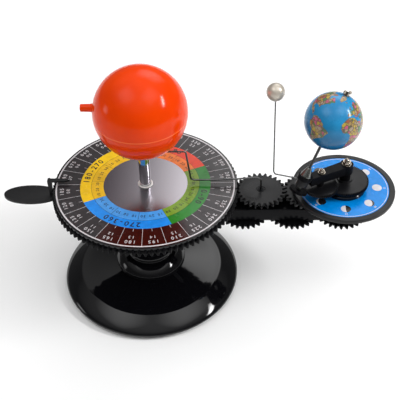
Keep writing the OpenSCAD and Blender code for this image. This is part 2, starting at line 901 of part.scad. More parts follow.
// Bridge: bar with a round boss on the spindle and a tilted lug at its far end
module bridge() {
    color("black")
        difference() {
            union() {
                on_bridge() {
                    translate([0, 0, bridge_z])
                        linear_extrude(bridge_h)
                            polygon([[0, -bridge_half_w - 1], [0, bridge_half_w + 1],
                                [bridge_end, bridge_half_w], [bridge_end, -bridge_half_w]]);
                    translate([0, 0, bridge_z])
                        cylinder(r = bridge_half_w + 2.5, h = bridge_h);
                    translate([0, 0, large_top + 1.6 + gap])
                        cylinder(r = bridge_half_w + 1, h = bridge_z - large_top - 1.6);
                    translate([relay_x, 0, bridge_z - 1.5])
                        cylinder(r = 4, h = 3);
                }
                on_tilt(3.8)
                    cylinder(r = 8, h = 4);
            }
            on_bridge() {
                translate([0, 0, bridge_z - 20])
                    cylinder(r = spindle_r + snug, h = 50);
                translate([relay_x, 0, bridge_z - 5])
                    cylinder(r = rod_r + snug, h = 30);
            }
            on_tilt(0)
                cylinder(r = rod_r + 1.5 + snug, h = 10);
            on_tilt(7.8)
                cylinder(r = 8.5, h = 5);
        }
}

// Domed nut and washer on top of the spindle
module bridge_nut() {
    color("silver")
        on_bridge()
            translate([0, 0, bridge_top])
                difference() {
                    union() {
                        cylinder(r = 5.3, h = 0.8);
                        translate([0, 0, 0.8])
                            cylinder(r = 4.7, h = 3.8, $fn = 6);
                        translate([0, 0, 4.6])
                            intersection() {
                                sphere(r = 3.8);
                                cylinder(r = 4, h = 4);
                            }
                    }
                    translate([0, 0, -1])
                        cylinder(r = spindle_r + snug, h = 5 + snug);
                }
}

module relay_pin() {
    color("silver")
        on_bridge()
            translate([relay_x, 0, 0]) {
                translate([0, 0, large_z])
                    cylinder(r = rod_r, h = bridge_top + 3.5 - large_z);
                translate([0, 0, large_z - 1.6])
                    cylinder(r = rod_r + 1.5, h = 1.6);
            }
}

module relay_nut() {
    color("silver")
        on_bridge()
            translate([relay_x, 0, bridge_top])
                difference() {
                    union() {
                        cylinder(r = 4.2, h = 0.8);
                        translate([0, 0, 0.8])
                            cylinder(r = 3.4, h = 2.6, $fn = 6);
                        translate([0, 0, 3.4])
                            intersection() {
                                sphere(r = 2.9);
                                cylinder(r = 4, h = 4);
                            }
                    }
                    translate([0, 0, -1])
                        cylinder(r = rod_r + snug, h = 4.5 + snug);
                }
}

// Silver ferrule on the lug, with the bearing tube that the collar turns on
module ferrule() {
    color("silver")
        on_tilt(0)
            rotate_extrude()
                polygon([[rod_r + fit, earth_gear_s + 2], [rod_r + 1.5, earth_gear_s + 2],
                    [rod_r + 1.5, 7.8], [6.2, 7.8], [6.2, 9], [2.7, 18.5],
                    [rod_r + fit, 19]]);
}

// Relay gear: bevel rim over the small pinion that the large gear drives
module relay_gear() {
    color("black")
        on_bridge()
            translate([relay_x, 0, relay_mid])
                difference() {
                    union() {
                        bevel_gear(relay_n, relay_z - relay_mid, relay_z + relay_t - relay_mid,
                            apex_z - relay_mid, 0);
                        translate([0, 0, relay_t + relay_z - relay_mid - 0.5])
                            cylinder(r = 4, h = bridge_z - 1.5 - gap - relay_z - relay_t + 0.5);
                    }
                    translate([0, 0, -10])
                        cylinder(r = rod_r + fit, h = 30);
                }
}

module relay_pinion() {
    color("black")
        on_bridge()
            translate([relay_x, 0, large_z + gap])
                difference() {
                    fine_gear(relay_pinion_n, relay_z - large_z - gap, relay_pinion_turn);
                    translate([0, 0, -1])
                        cylinder(r = rod_r + fit, h = 20);
                }
}

// Tilted gear on the foot of the earth rod
module earth_gear() {
    color("black")
        on_tilt(earth_gear_s)
            difference() {
                union() {
                    rotate([0, 0, 180])
                        bevel_gear(earth_gear_n, -1.1, 1.1, apex_s - earth_gear_s,
                            earth_gear_turn - 180);
                    translate([0, 0, -3])
                        cylinder(r = 4, h = 2.5);
                }
                translate([0, 0, -5])
                    cylinder(r = rod_r + snug, h = 10);
            }
}

module earth_rod() {
    color("silver")
        on_tilt(earth_gear_s - 3.6)
            cylinder(r = rod_r, h = earth_s + earth_d / 2 + 5.6 - earth_gear_s);
}

module earth_ball() {
    r = earth_d / 2;
    color("deepskyblue")
        on_tilt(earth_s)
            difference() {
                sphere(r = r);
                difference() {
                    sphere(r = r - ball_wall);
                    translate([0, 0, -r])
                        cylinder(r = rod_r + 1.8, h = 2 * r);
                }
                translate([0, 0, -r - 1])
                    cylinder(r = rod_r + snug, h = 2 * r + 2);
            }
}

// Small winged nut over a washer at the earth's north pole
module earth_nut() {
    color("silver")
        on_tilt(earth_s + earth_d / 2 - 0.02)
            difference() {
                union() {
                    cylinder(r = 3.4, h = 0.7);
                    cylinder(r1 = 2.8, r2 = 2.4, h = 3.4);
                    for (a = [0, 180])
                        rotate([90, 0, a])
                            translate([3.4, 3.4, -0.6])
                                cylinder(r = 1.9, h = 1.2);
                }
                translate([0, 0, -1])
                    cylinder(r = rod_r + snug, h = 10);
            }
}

module moon_collar() {
    low = earth_gear_s + 1.1 + gap;
    color("black")
        on_tilt(0)
            rotate([0, 0, moon_turn])
                difference() {
                    rotate_extrude()
                        polygon([[rod_r + 1.5 + fit, low], [collar_r - 0.8, low],
                            [collar_r, low + 0.8], [collar_r, 3.8 - gap - 0.8],
                            [collar_r - 0.8, 3.8 - gap], [rod_r + 1.5 + fit, 3.8 - gap]]);
                    rod_between([4, 0, 0.9], [20, 0, 0.9], moon_wire_r + snug);
                }
}

// Wire from the collar out to a bend and up to the moon
moon_foot = [33, -4.2];
moon_end = [moon_orbit - (moon_d / 2 - 3) * 0.38, earth_s - (moon_d / 2 - 3) * 0.925];
module moon_wire() {
    color("silver")
        on_tilt(0)
            rotate([0, 0, moon_turn])
                bent_wire([[4, 0.9], [collar_r + 1, 0.9], [30.5, -6.4], moon_foot, moon_end],
                    moon_wire_r, 2);
}

module moon_ball() {
    color("ivory")
        on_tilt(0)
            rotate([0, 0, moon_turn])
                translate([moon_orbit, 0, earth_s])
                    difference() {
                        sphere(r = moon_d / 2);
                        moon_wire_bore();
                    }
}

module moon_wire_bore() {
    translate([-moon_orbit, 0, -earth_s])
        rod_between([moon_foot[0], 0, moon_foot[1]], [moon_end[0], 0, moon_end[1]],
            moon_wire_r + snug);
}

base_shell();
felt_disc();
ballast_ring();
column();
column_bolt();
fixed_gear();
dial_gear();
dial_plate();
dial_label();
dial_washer();
sun_rod();
sun_ball();
arm_beam();
arm_cover();
arm_bush();
handle();
pointer();
idler_pins();
first_axle();
second_axle();
disc_pillars();
phase_disc();
phase_label();
phase_seat();
spindle_bush();
sunray_wire();
sunray_collar();
idler_gear_1();
idler_gear_2();
idler_gear_3();
first_gear();
second_gear();
drive_pinion();
large_gear();
carriage_gear();
carriage_spindle();
bridge();
bridge_nut();
relay_pin();
relay_nut();
ferrule();
relay_gear();
relay_pinion();
earth_gear();
earth_rod();
earth_ball();
earth_nut();
moon_collar();
moon_wire();
moon_ball();
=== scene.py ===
# Tellurion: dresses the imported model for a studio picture. Sizes in the dictionaries are millimetres.
import json
import math

import bmesh
import bpy
from mathutils import Matrix, Vector


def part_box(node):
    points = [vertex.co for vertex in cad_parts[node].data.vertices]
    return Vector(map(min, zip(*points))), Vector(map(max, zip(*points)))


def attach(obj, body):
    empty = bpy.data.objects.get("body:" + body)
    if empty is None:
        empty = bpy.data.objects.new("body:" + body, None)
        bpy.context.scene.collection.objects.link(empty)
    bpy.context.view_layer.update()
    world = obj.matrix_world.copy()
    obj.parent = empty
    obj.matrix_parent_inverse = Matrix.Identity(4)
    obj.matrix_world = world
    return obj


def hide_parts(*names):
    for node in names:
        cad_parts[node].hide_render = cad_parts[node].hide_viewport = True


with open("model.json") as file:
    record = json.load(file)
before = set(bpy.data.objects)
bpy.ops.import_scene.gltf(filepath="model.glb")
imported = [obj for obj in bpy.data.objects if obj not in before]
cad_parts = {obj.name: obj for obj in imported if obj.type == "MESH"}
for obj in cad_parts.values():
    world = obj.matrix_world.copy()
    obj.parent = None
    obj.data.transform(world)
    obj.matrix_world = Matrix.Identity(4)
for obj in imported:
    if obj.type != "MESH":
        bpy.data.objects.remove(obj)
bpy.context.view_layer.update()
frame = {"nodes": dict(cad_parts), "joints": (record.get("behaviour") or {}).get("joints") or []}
mm = 0.001
tau = 2 * math.pi
print("frame loaded:", len(frame["nodes"]), "nodes")

jointAt = {j["name"]: Vector(j["pos_m"]) / mm for j in frame["joints"]}
jointAxis = {j["name"]: Vector(j["axis"]).normalized() for j in frame["joints"]}


def low(node):
    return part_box(node)[0] / mm


def high(node):
    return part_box(node)[1] / mm


def radiusOf(node):
    return (high(node).x - low(node).x) / 2


def putInScene(name, data):
    thing = bpy.data.objects.new(name, data)
    bpy.context.scene.collection.objects.link(thing)
    return thing


# Materials: patterns read Object coordinates or the piece's own attributes

def makeMaterial(name, sockets):
    material = bpy.data.materials.new(name)
    material.use_nodes = True
    shader = material.node_tree.nodes["Principled BSDF"]
    for socket, value in sockets.items():
        shader.inputs[socket].default_value = value
    return material, shader


def addNode(material, kind, settings=None, inputs=None):
    node = material.node_tree.nodes.new(kind)
    for key, value in (settings or {}).items():
        setattr(node, key, value)
    for key, value in (inputs or {}).items():
        node.inputs[key].default_value = value
    return node


def join(material, source, target):
    material.node_tree.links.new(source, target)


def objectNoise(material, scale, detail=3.0, stretch=(1, 1, 1), turn=(0, 0, 0)):
    coords = addNode(material, "ShaderNodeTexCoord")
    mapping = addNode(material, "ShaderNodeMapping", inputs={"Scale": stretch, "Rotation": turn})
    noise = addNode(material, "ShaderNodeTexNoise", inputs={"Scale": scale, "Detail": detail})
    join(material, coords.outputs["Object"], mapping.inputs["Vector"])
    join(material, mapping.outputs["Vector"], noise.inputs["Vector"])
    return noise.outputs["Fac"]


def mapped(material, value, fromLow, fromHigh, toLow, toHigh):
    ramp = addNode(material, "ShaderNodeMapRange", inputs={
        "From Min": fromLow, "From Max": fromHigh, "To Min": toLow, "To Max": toHigh})
    join(material, value, ramp.inputs["Value"])
    return ramp.outputs["Result"]


def addBump(material, shader, height, strength, distance):
    bump = addNode(material, "ShaderNodeBump", inputs={"Strength": strength, "Distance": distance})
    join(material, height, bump.inputs["Height"])
    if shader.inputs["Normal"].is_linked:
        before = shader.inputs["Normal"].links[0].from_socket
        join(material, before, bump.inputs["Normal"])
    join(material, bump.outputs["Normal"], shader.inputs["Normal"])


def blend(material, factor, first, second):
    # mixes two colours by a factor socket; each is a plain colour or a colour socket
    mix = addNode(material, "ShaderNodeMix", {"data_type": "RGBA"})
    join(material, factor, mix.inputs["Factor"])
    for socket, colour in (("A", first), ("B", second)):
        if isinstance(colour, tuple):
            mix.inputs[socket].default_value = (*colour, 1)
        else:
            join(material, colour, mix.inputs[socket])
    return mix.outputs["Result"]


def addTone(material, shader, factor, dark, light):
    tone = blend(material, factor, dark, light)
    join(material, tone, shader.inputs["Base Color"])
    return tone


def spread(material, shader, noise, smooth, rough):
    # roughness wanders between two values with a noise
    join(material, mapped(material, noise, 0.3, 0.7, smooth, rough), shader.inputs["Roughness"])


def toned(colour, factor):
    return tuple(min(1, c * factor) for c in colour)


plasticGrain = {"grainScale": 2600, "waveScale": 55, "dustScale": 900}


def mouldedPlastic(name, colour, rough, grain=0.1, wave=0.12, dust=0.03, gloss=0.25):
    # colour, roughness spread, fine mould grain, slow waviness and a little dust
    material, shader = makeMaterial(name, {"IOR": 1.5, "Specular IOR Level": gloss})
    dustNoise = objectNoise(material, plasticGrain["dustScale"], 5)
    specks = mapped(material, dustNoise, 0.62, 0.72, 0, dust)
    addTone(material, shader, specks, colour, (0.55, 0.55, 0.55))
    spread(material, shader, objectNoise(material, plasticGrain["waveScale"] * 0.7, 4, (1, 1, 1.6)), *rough)
    addBump(material, shader, objectNoise(material, plasticGrain["waveScale"], 1), wave, 0.0006)
    addBump(material, shader, objectNoise(material, plasticGrain["grainScale"], 2), grain, 0.00005)
    return material


def turnedMetal(name, colour, rough, stretch=(1, 1, 40), lines=0.15, turn=(0, 0, 0)):
    material, shader = makeMaterial(name, {"Metallic": 1.0})
    streaks = objectNoise(material, 900, 4, stretch, turn)
    stains = objectNoise(material, 120, 3)
    addTone(material, shader, mapped(material, stains, 0.35, 0.7, 0, 1), toned(colour, 0.8), colour)
    spread(material, shader, streaks, *rough)
    addBump(material, shader, streaks, lines, 0.00004)
    return material


def printedInk(name, colour, rough=(0.16, 0.3), gloss=0.35):
    # a laminated print: slightly uneven ink under a clear film
    material, shader = makeMaterial(name, {"Specular IOR Level": gloss})
    blotch = objectNoise(material, 160, 5)
    addTone(material, shader, mapped(material, blotch, 0.3, 0.7, 0, 1), toned(colour, 0.88),
            toned(colour, 1.08))
    spread(material, shader, objectNoise(material, 70, 3), *rough)
    addBump(material, shader, objectNoise(material, 3200, 2), 0.05, 0.00003)
    return material


def silverFoil():
    # metallised film: a painted reflection running from dark at the left to bright at the right across it,
    # and fine scratches one way
    material, shader = makeMaterial("inkSilverAndPaintedReflection", {"Metallic": 1.0})
    coords = addNode(material, "ShaderNodeTexCoord")
    parts = addNode(material, "ShaderNodeSeparateXYZ")
    join(material, coords.outputs["Object"], parts.inputs["Vector"])
    # painted reflection: base colour dark at the left, bright at the right
    paintedReflection = mapped(material, parts.outputs["X"], -0.045, 0.04, 0, 1)
    addTone(material, shader, paintedReflection, (0.12, 0.1, 0.115), (0.36, 0.335, 0.36))
    scratches = objectNoise(material, 500, 4, (1, 25, 1), (0, 0, 0.5))
    spread(material, shader, scratches, 0.16, 0.27)
    addBump(material, shader, scratches, 0.05, 0.00004)
    return material


glossBlack = mouldedPlastic("glossBlack", (0.003, 0.003, 0.004), (0.035, 0.08), 0.02, 0.05, 0.01, 0.32)
satinBlack = mouldedPlastic("satinBlack", (0.009, 0.009, 0.010), (0.3, 0.46), 0.2, 0.1, 0.02, 0.25)
gearBlack = mouldedPlastic("gearBlack", (0.005, 0.005, 0.006), (0.24, 0.38), 0.14, 0.08, 0.02, 0.18)
# shadeBlack is a duller, slightly darker copy of gearBlack: painted shade for the lower gears and a few
# small parts
shadeBlack = mouldedPlastic("shadeBlack", (0.004, 0.004, 0.005), (0.3, 0.45), 0.14, 0.08, 0.02, 0.06)
armBlack = mouldedPlastic("armBlack", (0.004, 0.004, 0.005), (0.12, 0.22), 0.04, 0.12, 0.01, 0.09)
whitePlastic = mouldedPlastic("whitePlastic", (0.8, 0.8, 0.78), (0.25, 0.35), 0.08, 0.05, 0.02)
bearingPlastic = mouldedPlastic("bearingPlastic", (0.7, 0.66, 0.55), (0.35, 0.5), 0.15, 0.1, 0.02)
brightChrome = turnedMetal("brightChrome", (0.6, 0.6, 0.62), (0.04, 0.1), (1, 1, 0.05), 0.03)
nutChrome = turnedMetal("nutChrome", (0.36, 0.32, 0.27), (0.04, 0.12), (1, 1, 1), 0.05)
ferruleMetal = turnedMetal("ferruleMetal", (0.2, 0.21, 0.2), (0.22, 0.36), (1, 1, 12), 0.08)
wireSteel = turnedMetal("wireSteel", (0.17, 0.17, 0.17), (0.22, 0.4), (1, 1, 0.2), 0.12)
darkSteel = turnedMetal("darkSteel", (0.08, 0.08, 0.08), (0.25, 0.4), (1, 1, 0.2), 0.12)
pinSteel = turnedMetal("pinSteel", (0.4, 0.4, 0.41), (0.25, 0.4), (1, 1, 8), 0.15)
castIron = mouldedPlastic("castIron", (0.1, 0.1, 0.105), (0.55, 0.8), 0.6, 0.3, 0.05)
darkFelt = mouldedPlastic("darkFelt", (0.02, 0.024, 0.02), (0.85, 1.0), 0.9, 0.3, 0.12)

inks = {
    "slate": printedInk("inkSlate", (0.026, 0.022, 0.024)),
    "maroon": printedInk("inkMaroon", (0.030, 0.004, 0.003)),
    "edge": printedInk("inkEdge", (0.008, 0.008, 0.009)),
    "white": printedInk("inkWhite", (0.62, 0.6, 0.62)),
    "yellow": printedInk("inkYellow", (0.9, 0.58, 0.0)),
    "amber": printedInk("inkAmber", (0.82, 0.5, 0.003)),
    "blue": printedInk("inkBlue", (0.008, 0.24, 0.78)),
    "sky": printedInk("inkSky", (0.06, 0.31, 0.76)),
    "green": printedInk("inkGreen", (0.012, 0.2, 0.014)),
    "lime": printedInk("inkLime", (0.17, 0.3, 0.01)),
    "red": printedInk("inkRed", (0.72, 0.04, 0.008)),
    "orange": printedInk("inkOrange", (0.8, 0.17, 0.012)),
    "silver": silverFoil(),
    "line": printedInk("inkLine", (0.012, 0.012, 0.012)),
    "phaseBlue": printedInk("inkPhaseBlue", (0.0, 0.225, 0.68), gloss=0.17),
}
print("materials made:", len(bpy.data.materials))


# Mesh helpers

def finishMesh(name, bm, materials, body, replaced=(), sharp=35):
    bmesh.ops.recalc_face_normals(bm, faces=bm.faces)
    mesh = bpy.data.meshes.new(name)
    bm.to_mesh(mesh)
    bm.free()
    piece = putInScene(name, mesh)
    for material in materials if isinstance(materials, (list, tuple)) else [materials]:
        mesh.materials.append(material)
    mesh.shade_smooth()
    mesh.set_sharp_from_angle(angle=math.radians(sharp))
    if body:
        seat(piece, body, replaced)
    return piece


def seat(piece, body, replaced=()):
    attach(piece, body)
    if replaced:
        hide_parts(*replaced)
    return piece


def softened(points, radius, steps=4):
    # rounds each corner of a closed profile with a small arc
    result = []
    count = len(points)
    for i in range(count):
        here = Vector(points[i][:2])
        before = Vector(points[i - 1][:2]) - here
        after = Vector(points[(i + 1) % count][:2]) - here
        own = points[i][2] if len(points[i]) > 2 else radius
        reach = min(own, before.length * 0.45, after.length * 0.45)
        straight = before.length and after.length and before.angle(after) > math.radians(165)
        if reach < 0.01 or straight:
            result.append(here)
            continue
        start = here + before.normalized() * reach
        end = here + after.normalized() * reach
        for k in range(steps + 1):
            t = k / steps
            result.append(start * (1 - t) ** 2 + here * 2 * t * (1 - t) + end * t ** 2)
    return result


def addLathe(bm, profile, steps=96, at=(0, 0), placed=None):
    # turns a closed profile of radius and height about an upright line through at
    rings = []
    for r, z in profile:
        if r < 1e-6:
            rings.append([bm.verts.new((at[0] * mm, at[1] * mm, z * mm))])
            continue
        rings.append([bm.verts.new(((at[0] + r * math.cos(tau * k / steps)) * mm,
                                    (at[1] + r * math.sin(tau * k / steps)) * mm, z * mm))
                      for k in range(steps)])
    made = [v for ring in rings for v in ring]
    for i in range(len(rings)):
        a, b = rings[i], rings[(i + 1) % len(rings)]
        if len(a) == 1 and len(b) == 1:
            continue
        for k in range(steps):
            corners = [a[k % len(a)], a[(k + 1) % len(a)], b[(k + 1) % len(b)], b[k % len(b)]]
            unique = list(dict.fromkeys(corners))
            if len(unique) > 2:
                bm.faces.new(unique)
    if placed is not None:
        for v in made:
            v.co = placed @ v.co
    return made


def lathe(name, profile, material, body, replaced=(), steps=96, at=(0, 0), placed=None,
          sharp=35):
    bm = bmesh.new()
    addLathe(bm, profile, steps, at, placed)
    return finishMesh(name, bm, material, body, replaced, sharp)


def addPlate(bm, outline, z0, z1, edge=0.4, steps=3):
    # a flat plate from an outline, its upper and lower edges rounded by shrinking the outline
    rows = [(z0 + edge - edge * math.sin(math.pi / 2 * (1 - k / steps)),
             edge - edge * math.cos(math.pi / 2 * (1 - k / steps))) for k in range(steps + 1)]
    rows += [(z0 + z1 - z, inset) for z, inset in reversed(rows)]
    count = len(outline)
    normals = []
    for i in range(count):
        before = (Vector(outline[i]) - Vector(outline[i - 1])).normalized()
        after = (Vector(outline[(i + 1) % count]) - Vector(outline[i])).normalized()
        normal = Vector((before.y + after.y, -(before.x + after.x)))
        if normal.length < 1e-9:
            normal = Vector((before.y, -before.x))
        normal.normalize()
        cosine = max(0.3, normal.dot(Vector((before.y, -before.x))))
        normals.append(normal / cosine)
    rings = []
    for z, inset in rows:
        rings.append([bm.verts.new(((p[0] - n.x * inset) * mm, (p[1] - n.y * inset) * mm, z * mm))
                      for p, n in zip(outline, normals)])
    for a, b in zip(rings, rings[1:]):
        for i in range(count):
            bm.faces.new((a[i], a[(i + 1) % count], b[(i + 1) % count], b[i]))
    bm.faces.new(rings[0][::-1])
    bm.faces.new(rings[-1])
    return [v for ring in rings for v in ring]


def addBall(bm, radius, rows=32, steps=64, placed=None):
    profile = [(radius * math.sin(math.pi * i / rows), -radius * math.cos(math.pi * i / rows))
               for i in range(rows + 1)]
    profile[0] = (0, -radius)
    profile[-1] = (0, radius)
    return addLathe(bm, profile, steps, (0, 0), placed)


def arc(cx, cy, radius, start, end, steps):
    return [(cx + radius * math.cos(math.radians(start + (end - start) * i / steps)),
             cy + radius * math.sin(math.radians(start + (end - start) * i / steps)))
            for i in range(steps + 1)]


# Geometry node trees: a ring of copies, and a round wire along a path

def startTree(name, sockets):
    tree = bpy.data.node_groups.new(name, "GeometryNodeTree")
    tree.interface.new_socket("Geometry", in_out="INPUT", socket_type="NodeSocketGeometry")
    for label, kind, value in sockets:
        socket = tree.interface.new_socket(label, in_out="INPUT", socket_type=kind)
        if value is not None:
            socket.default_value = value
    tree.interface.new_socket("Geometry", in_out="OUTPUT", socket_type="NodeSocketGeometry")
    return tree, tree.nodes.new("NodeGroupInput"), tree.nodes.new("NodeGroupOutput")


def makeRingTree():
    tree, inputs, output = startTree("ringOfCopies", [
        ("Count", "NodeSocketInt", 12), ("Turn", "NodeSocketFloat", 0.0), ("Step", "NodeSocketFloat", 0.0),
        ("Centre", "NodeSocketVector", None), ("Weld", "NodeSocketFloat", 1e-6),
        ("Material", "NodeSocketMaterial", None)])
    nodes, links = tree.nodes, tree.links
    wrap = nodes.new("GeometryNodeGeometryToInstance")
    links.new(inputs.outputs["Geometry"], wrap.inputs["Geometry"])
    copies = nodes.new("GeometryNodeDuplicateElements")
    copies.domain = "INSTANCE"
    links.new(wrap.outputs["Instances"], copies.inputs["Geometry"])
    links.new(inputs.outputs["Count"], copies.inputs["Amount"])
    angle = nodes.new("ShaderNodeMath")
    angle.operation = "MULTIPLY_ADD"
    links.new(copies.outputs["Duplicate Index"], angle.inputs[0])
    links.new(inputs.outputs["Step"], angle.inputs[1])
    links.new(inputs.outputs["Turn"], angle.inputs[2])
    euler = nodes.new("ShaderNodeCombineXYZ")
    links.new(angle.outputs["Value"], euler.inputs["Z"])
    turned = nodes.new("GeometryNodeRotateInstances")
    turned.inputs["Local Space"].default_value = False
    links.new(copies.outputs["Geometry"], turned.inputs["Instances"])
    links.new(euler.outputs["Vector"], turned.inputs["Rotation"])
    real = nodes.new("GeometryNodeRealizeInstances")
    links.new(turned.outputs["Instances"], real.inputs["Geometry"])
    weld = nodes.new("GeometryNodeMergeByDistance")
    links.new(real.outputs["Geometry"], weld.inputs["Geometry"])
    links.new(inputs.outputs["Weld"], weld.inputs["Distance"])
    moved = nodes.new("GeometryNodeTransform")
    links.new(weld.outputs["Geometry"], moved.inputs["Geometry"])
    links.new(inputs.outputs["Centre"], moved.inputs["Translation"])
    paint = nodes.new("GeometryNodeSetMaterial")
    links.new(moved.outputs["Geometry"], paint.inputs["Geometry"])
    links.new(inputs.outputs["Material"], paint.inputs["Material"])
    links.new(paint.outputs["Geometry"], output.inputs["Geometry"])
    return tree


def makeWireTree():
    tree, inputs, output = startTree("bentWire", [
        ("Radius", "NodeSocketFloat", 0.001), ("Bend", "NodeSocketFloat", 0.002),
        ("Sides", "NodeSocketInt", 20), ("Material", "NodeSocketMaterial", None)])
    nodes, links = tree.nodes, tree.links
    bend = nodes.new("GeometryNodeFilletCurve")
    bend.mode = "POLY"
    bend.inputs["Count"].default_value = 8
    bend.inputs["Limit Radius"].default_value = True
    links.new(inputs.outputs["Geometry"], bend.inputs["Curve"])
    links.new(inputs.outputs["Bend"], bend.inputs["Radius"])
    ring = nodes.new("GeometryNodeCurvePrimitiveCircle")
    links.new(inputs.outputs["Radius"], ring.inputs["Radius"])
    links.new(inputs.outputs["Sides"], ring.inputs["Resolution"])
    skin = nodes.new("GeometryNodeCurveToMesh")
    skin.inputs["Fill Caps"].default_value = True
    links.new(bend.outputs["Curve"], skin.inputs["Curve"])
    links.new(ring.outputs["Curve"], skin.inputs["Profile Curve"])
    real = nodes.new("GeometryNodeRealizeInstances")
    links.new(skin.outputs["Mesh"], real.inputs["Geometry"])
    paint = nodes.new("GeometryNodeSetMaterial")
    links.new(real.outputs["Geometry"], paint.inputs["Geometry"])
    links.new(inputs.outputs["Material"], paint.inputs["Material"])
    links.new(paint.outputs["Geometry"], output.inputs["Geometry"])
    return tree


ringTree = makeRingTree()
wireTree = makeWireTree()


def grow(name, source, tree, values):
    # runs a tree on a mesh or curve and returns the result as a plain mesh object at the origin
    seed = putInScene(name + "Seed", source)
    modifier = seed.modifiers.new("grow", "NODES")
    modifier.node_group = tree
    sockets = {s.name: s.identifier for s in tree.interface.items_tree
               if s.item_type == "SOCKET" and s.in_out == "INPUT"}
    for label, value in values.items():
        modifier[sockets[label]] = value
    bpy.context.view_layer.update()
    graph = bpy.context.evaluated_depsgraph_get()
    mesh = bpy.data.meshes.new_from_object(seed.evaluated_get(graph))
    mesh.name = name
    bpy.data.objects.remove(seed)
    piece = putInScene(name, mesh)
    mesh.shade_smooth()
    mesh.set_sharp_from_angle(angle=math.radians(32))
    return piece


def ringOf(name, unit, count, material, turn=0.0, step=None, centre=(0, 0, 0)):
    # count copies of a unit mesh about the upright line through centre; angles in degrees
    return grow(name, unit, ringTree, {
        "Count": count, "Turn": math.radians(turn),
        "Step": math.radians(360 / count if step is None else step),
        "Centre": tuple(Vector(centre) * mm), "Material": material})


def meshOf(name, bm):
    bmesh.ops.recalc_face_normals(bm, faces=bm.faces)
    mesh = bpy.data.meshes.new(name)
    bm.to_mesh(mesh)
    bm.free()
    return mesh


def wire(name, points, radius, bend, material, body, replaced, placed=None):
    curve = bpy.data.curves.new(name, "CURVE")
    curve.dimensions = "3D"
    spline = curve.splines.new("POLY")
    spline.points.add(len(points) - 1)
    for point, place in zip(spline.points, points):
        point.co = (*(Vector(place) * mm), 1)
    piece = grow(name, curve, wireTree, {
        "Radius": radius * mm, "Bend": bend * mm, "Material": material})
    if placed is not None:
        piece.data.transform(placed)
    return seat(piece, body, replaced)


def merged(name, pieces):
    # joins finished pieces into the first and keeps their materials
    bm = bmesh.new()
    materials = []
    for piece in pieces:
        shift = {}
        for i, material in enumerate(piece.data.materials):
            if material not in materials:
                materials.append(material)
            shift[i] = materials.index(material)
        start = len(bm.faces)
        bm.from_mesh(piece.data)
        bm.faces.ensure_lookup_table()
        for face in bm.faces[start:]:
            face.material_index = shift.get(face.material_index, 0)
    mesh = bpy.data.meshes.new(name)
    bm.to_mesh(mesh)
    bm.free()
    for material in materials:
        mesh.materials.append(material)
    for piece in pieces:
        bpy.data.objects.remove(piece)
    joined = putInScene(name, mesh)
    mesh.set_sharp_from_angle(angle=math.radians(32))
    return joined


# Gears: one tooth is modelled with softened edges and copied round

gearForm = {"coarseAngle": 25, "fineAngle": 20, "coarseTip": 0.9, "fineTip": 0.8, "rootDepth": 1.25,
            "coarsePlay": 0.16, "finePlay": 0.1, "coarseEdge": 0.3, "fineEdge": 0.4,
            "coarseRim": 2.2, "fineRim": 0.9, "pinBore": 3.05, "neckBore": 10.2}
teeth = {"equal": 27, "dial": 100, "first": 26, "second": 27, "large": 87,
         "relayPinion": 20, "relay": 64, "earth": 32}


def involute(angle):
    return math.tan(angle) - angle


def halfTooth(r, n, m, pressure, play):
    base = n * m / 2 * math.cos(pressure)
    here = math.acos(base / r) if r > base else 0
    return math.pi / 2 / n - play / (n * m) + involute(pressure) - involute(here)


def toothOutline(n, m, pressure, play, tip, inset, steps):
    root = m * (n / 2 - gearForm["rootDepth"])
    start = max(root, n * m / 2 * math.cos(pressure))
    top = m * (n / 2 + tip) - inset
    flank = []
    for i in range(steps + 1):
        r = start + (top - start) * i / steps
        flank.append((r, halfTooth(r, n, m, pressure, play) - inset / r))
    foot = flank[0][1]
    gapEdge = (root - inset) * math.cos(math.pi / n - foot)
    right = [(gapEdge, -math.pi / n), (root - inset, -foot)] + [(r, -a) for r, a in flank]
    left = [(r, -a) for r, a in reversed(right)]
    return [(r * math.cos(a), r * math.sin(a)) for r, a in right + left]


def toothMesh(name, n, m, fine, z0, z1, rimInner, squeeze=None):
    pressure = math.radians(gearForm["fineAngle" if fine else "coarseAngle"])
    play = gearForm["finePlay" if fine else "coarsePlay"]
    tip = gearForm["fineTip" if fine else "coarseTip"]
    edge = gearForm["fineEdge" if fine else "coarseEdge"]
    bm = bmesh.new()
    rings = []
    for z, inset in ((z0, edge), (z0 + edge * 0.4, edge * 0.3), (z0 + edge, 0),
                     (z1 - edge, 0), (z1 - edge * 0.4, edge * 0.3), (z1, edge)):
        outline = toothOutline(n, m, pressure, play, tip, inset, 2 if fine else 5)
        factor = squeeze(z) if squeeze else 1
        half = math.pi / n
        inner = [(rimInner * math.cos(a), rimInner * math.sin(a)) for a in (half, 0, -half)]
        rings.append([bm.verts.new((x * factor * mm, y * factor * mm, z * mm)) for x, y in outline + inner])
    count = len(rings[0])
    outer = count - 3
    for a, b in zip(rings, rings[1:]):
        for i in [*range(outer - 1), *range(outer, count - 1)]:
            bm.faces.new((a[i], a[i + 1], b[i + 1], b[i]))
    for ring, flip in ((rings[0], True), (rings[-1], False)):
        face = bm.faces.new(ring[::-1] if flip else ring)
        bmesh.ops.triangulate(bm, faces=[face])
    return meshOf(name, bm)


def gear(name, n, m, fine, z0, z1, turn, centre, web, material, body, replaced, placed=None,
         squeeze=None):
    # web is the closed profile of everything inside the toothed rim
    edge = m * (n / 2 - gearForm["rootDepth"]) - gearForm["fineRim" if fine else "coarseRim"]
    unit = toothMesh(name + "Tooth", n, m, fine, z0, z1, edge, squeeze)
    rim = ringOf(name + "Rim", unit, n, material, turn, centre=(centre[0], centre[1], 0))
    bm = bmesh.new()
    addLathe(bm, web(edge + 0.02), 96, centre)
    inside = finishMesh(name + "Web", bm, material, None)
    piece = merged(name, [rim, inside])
    if placed is not None:
        piece.data.transform(placed)
    return seat(piece, body, replaced)


def mate(direction, turn, n1, n2):
    # turn of the second gear that meshes with the first one at that turn
    return direction + 180 - 180 / n2 + (direction - turn) * n1 / n2


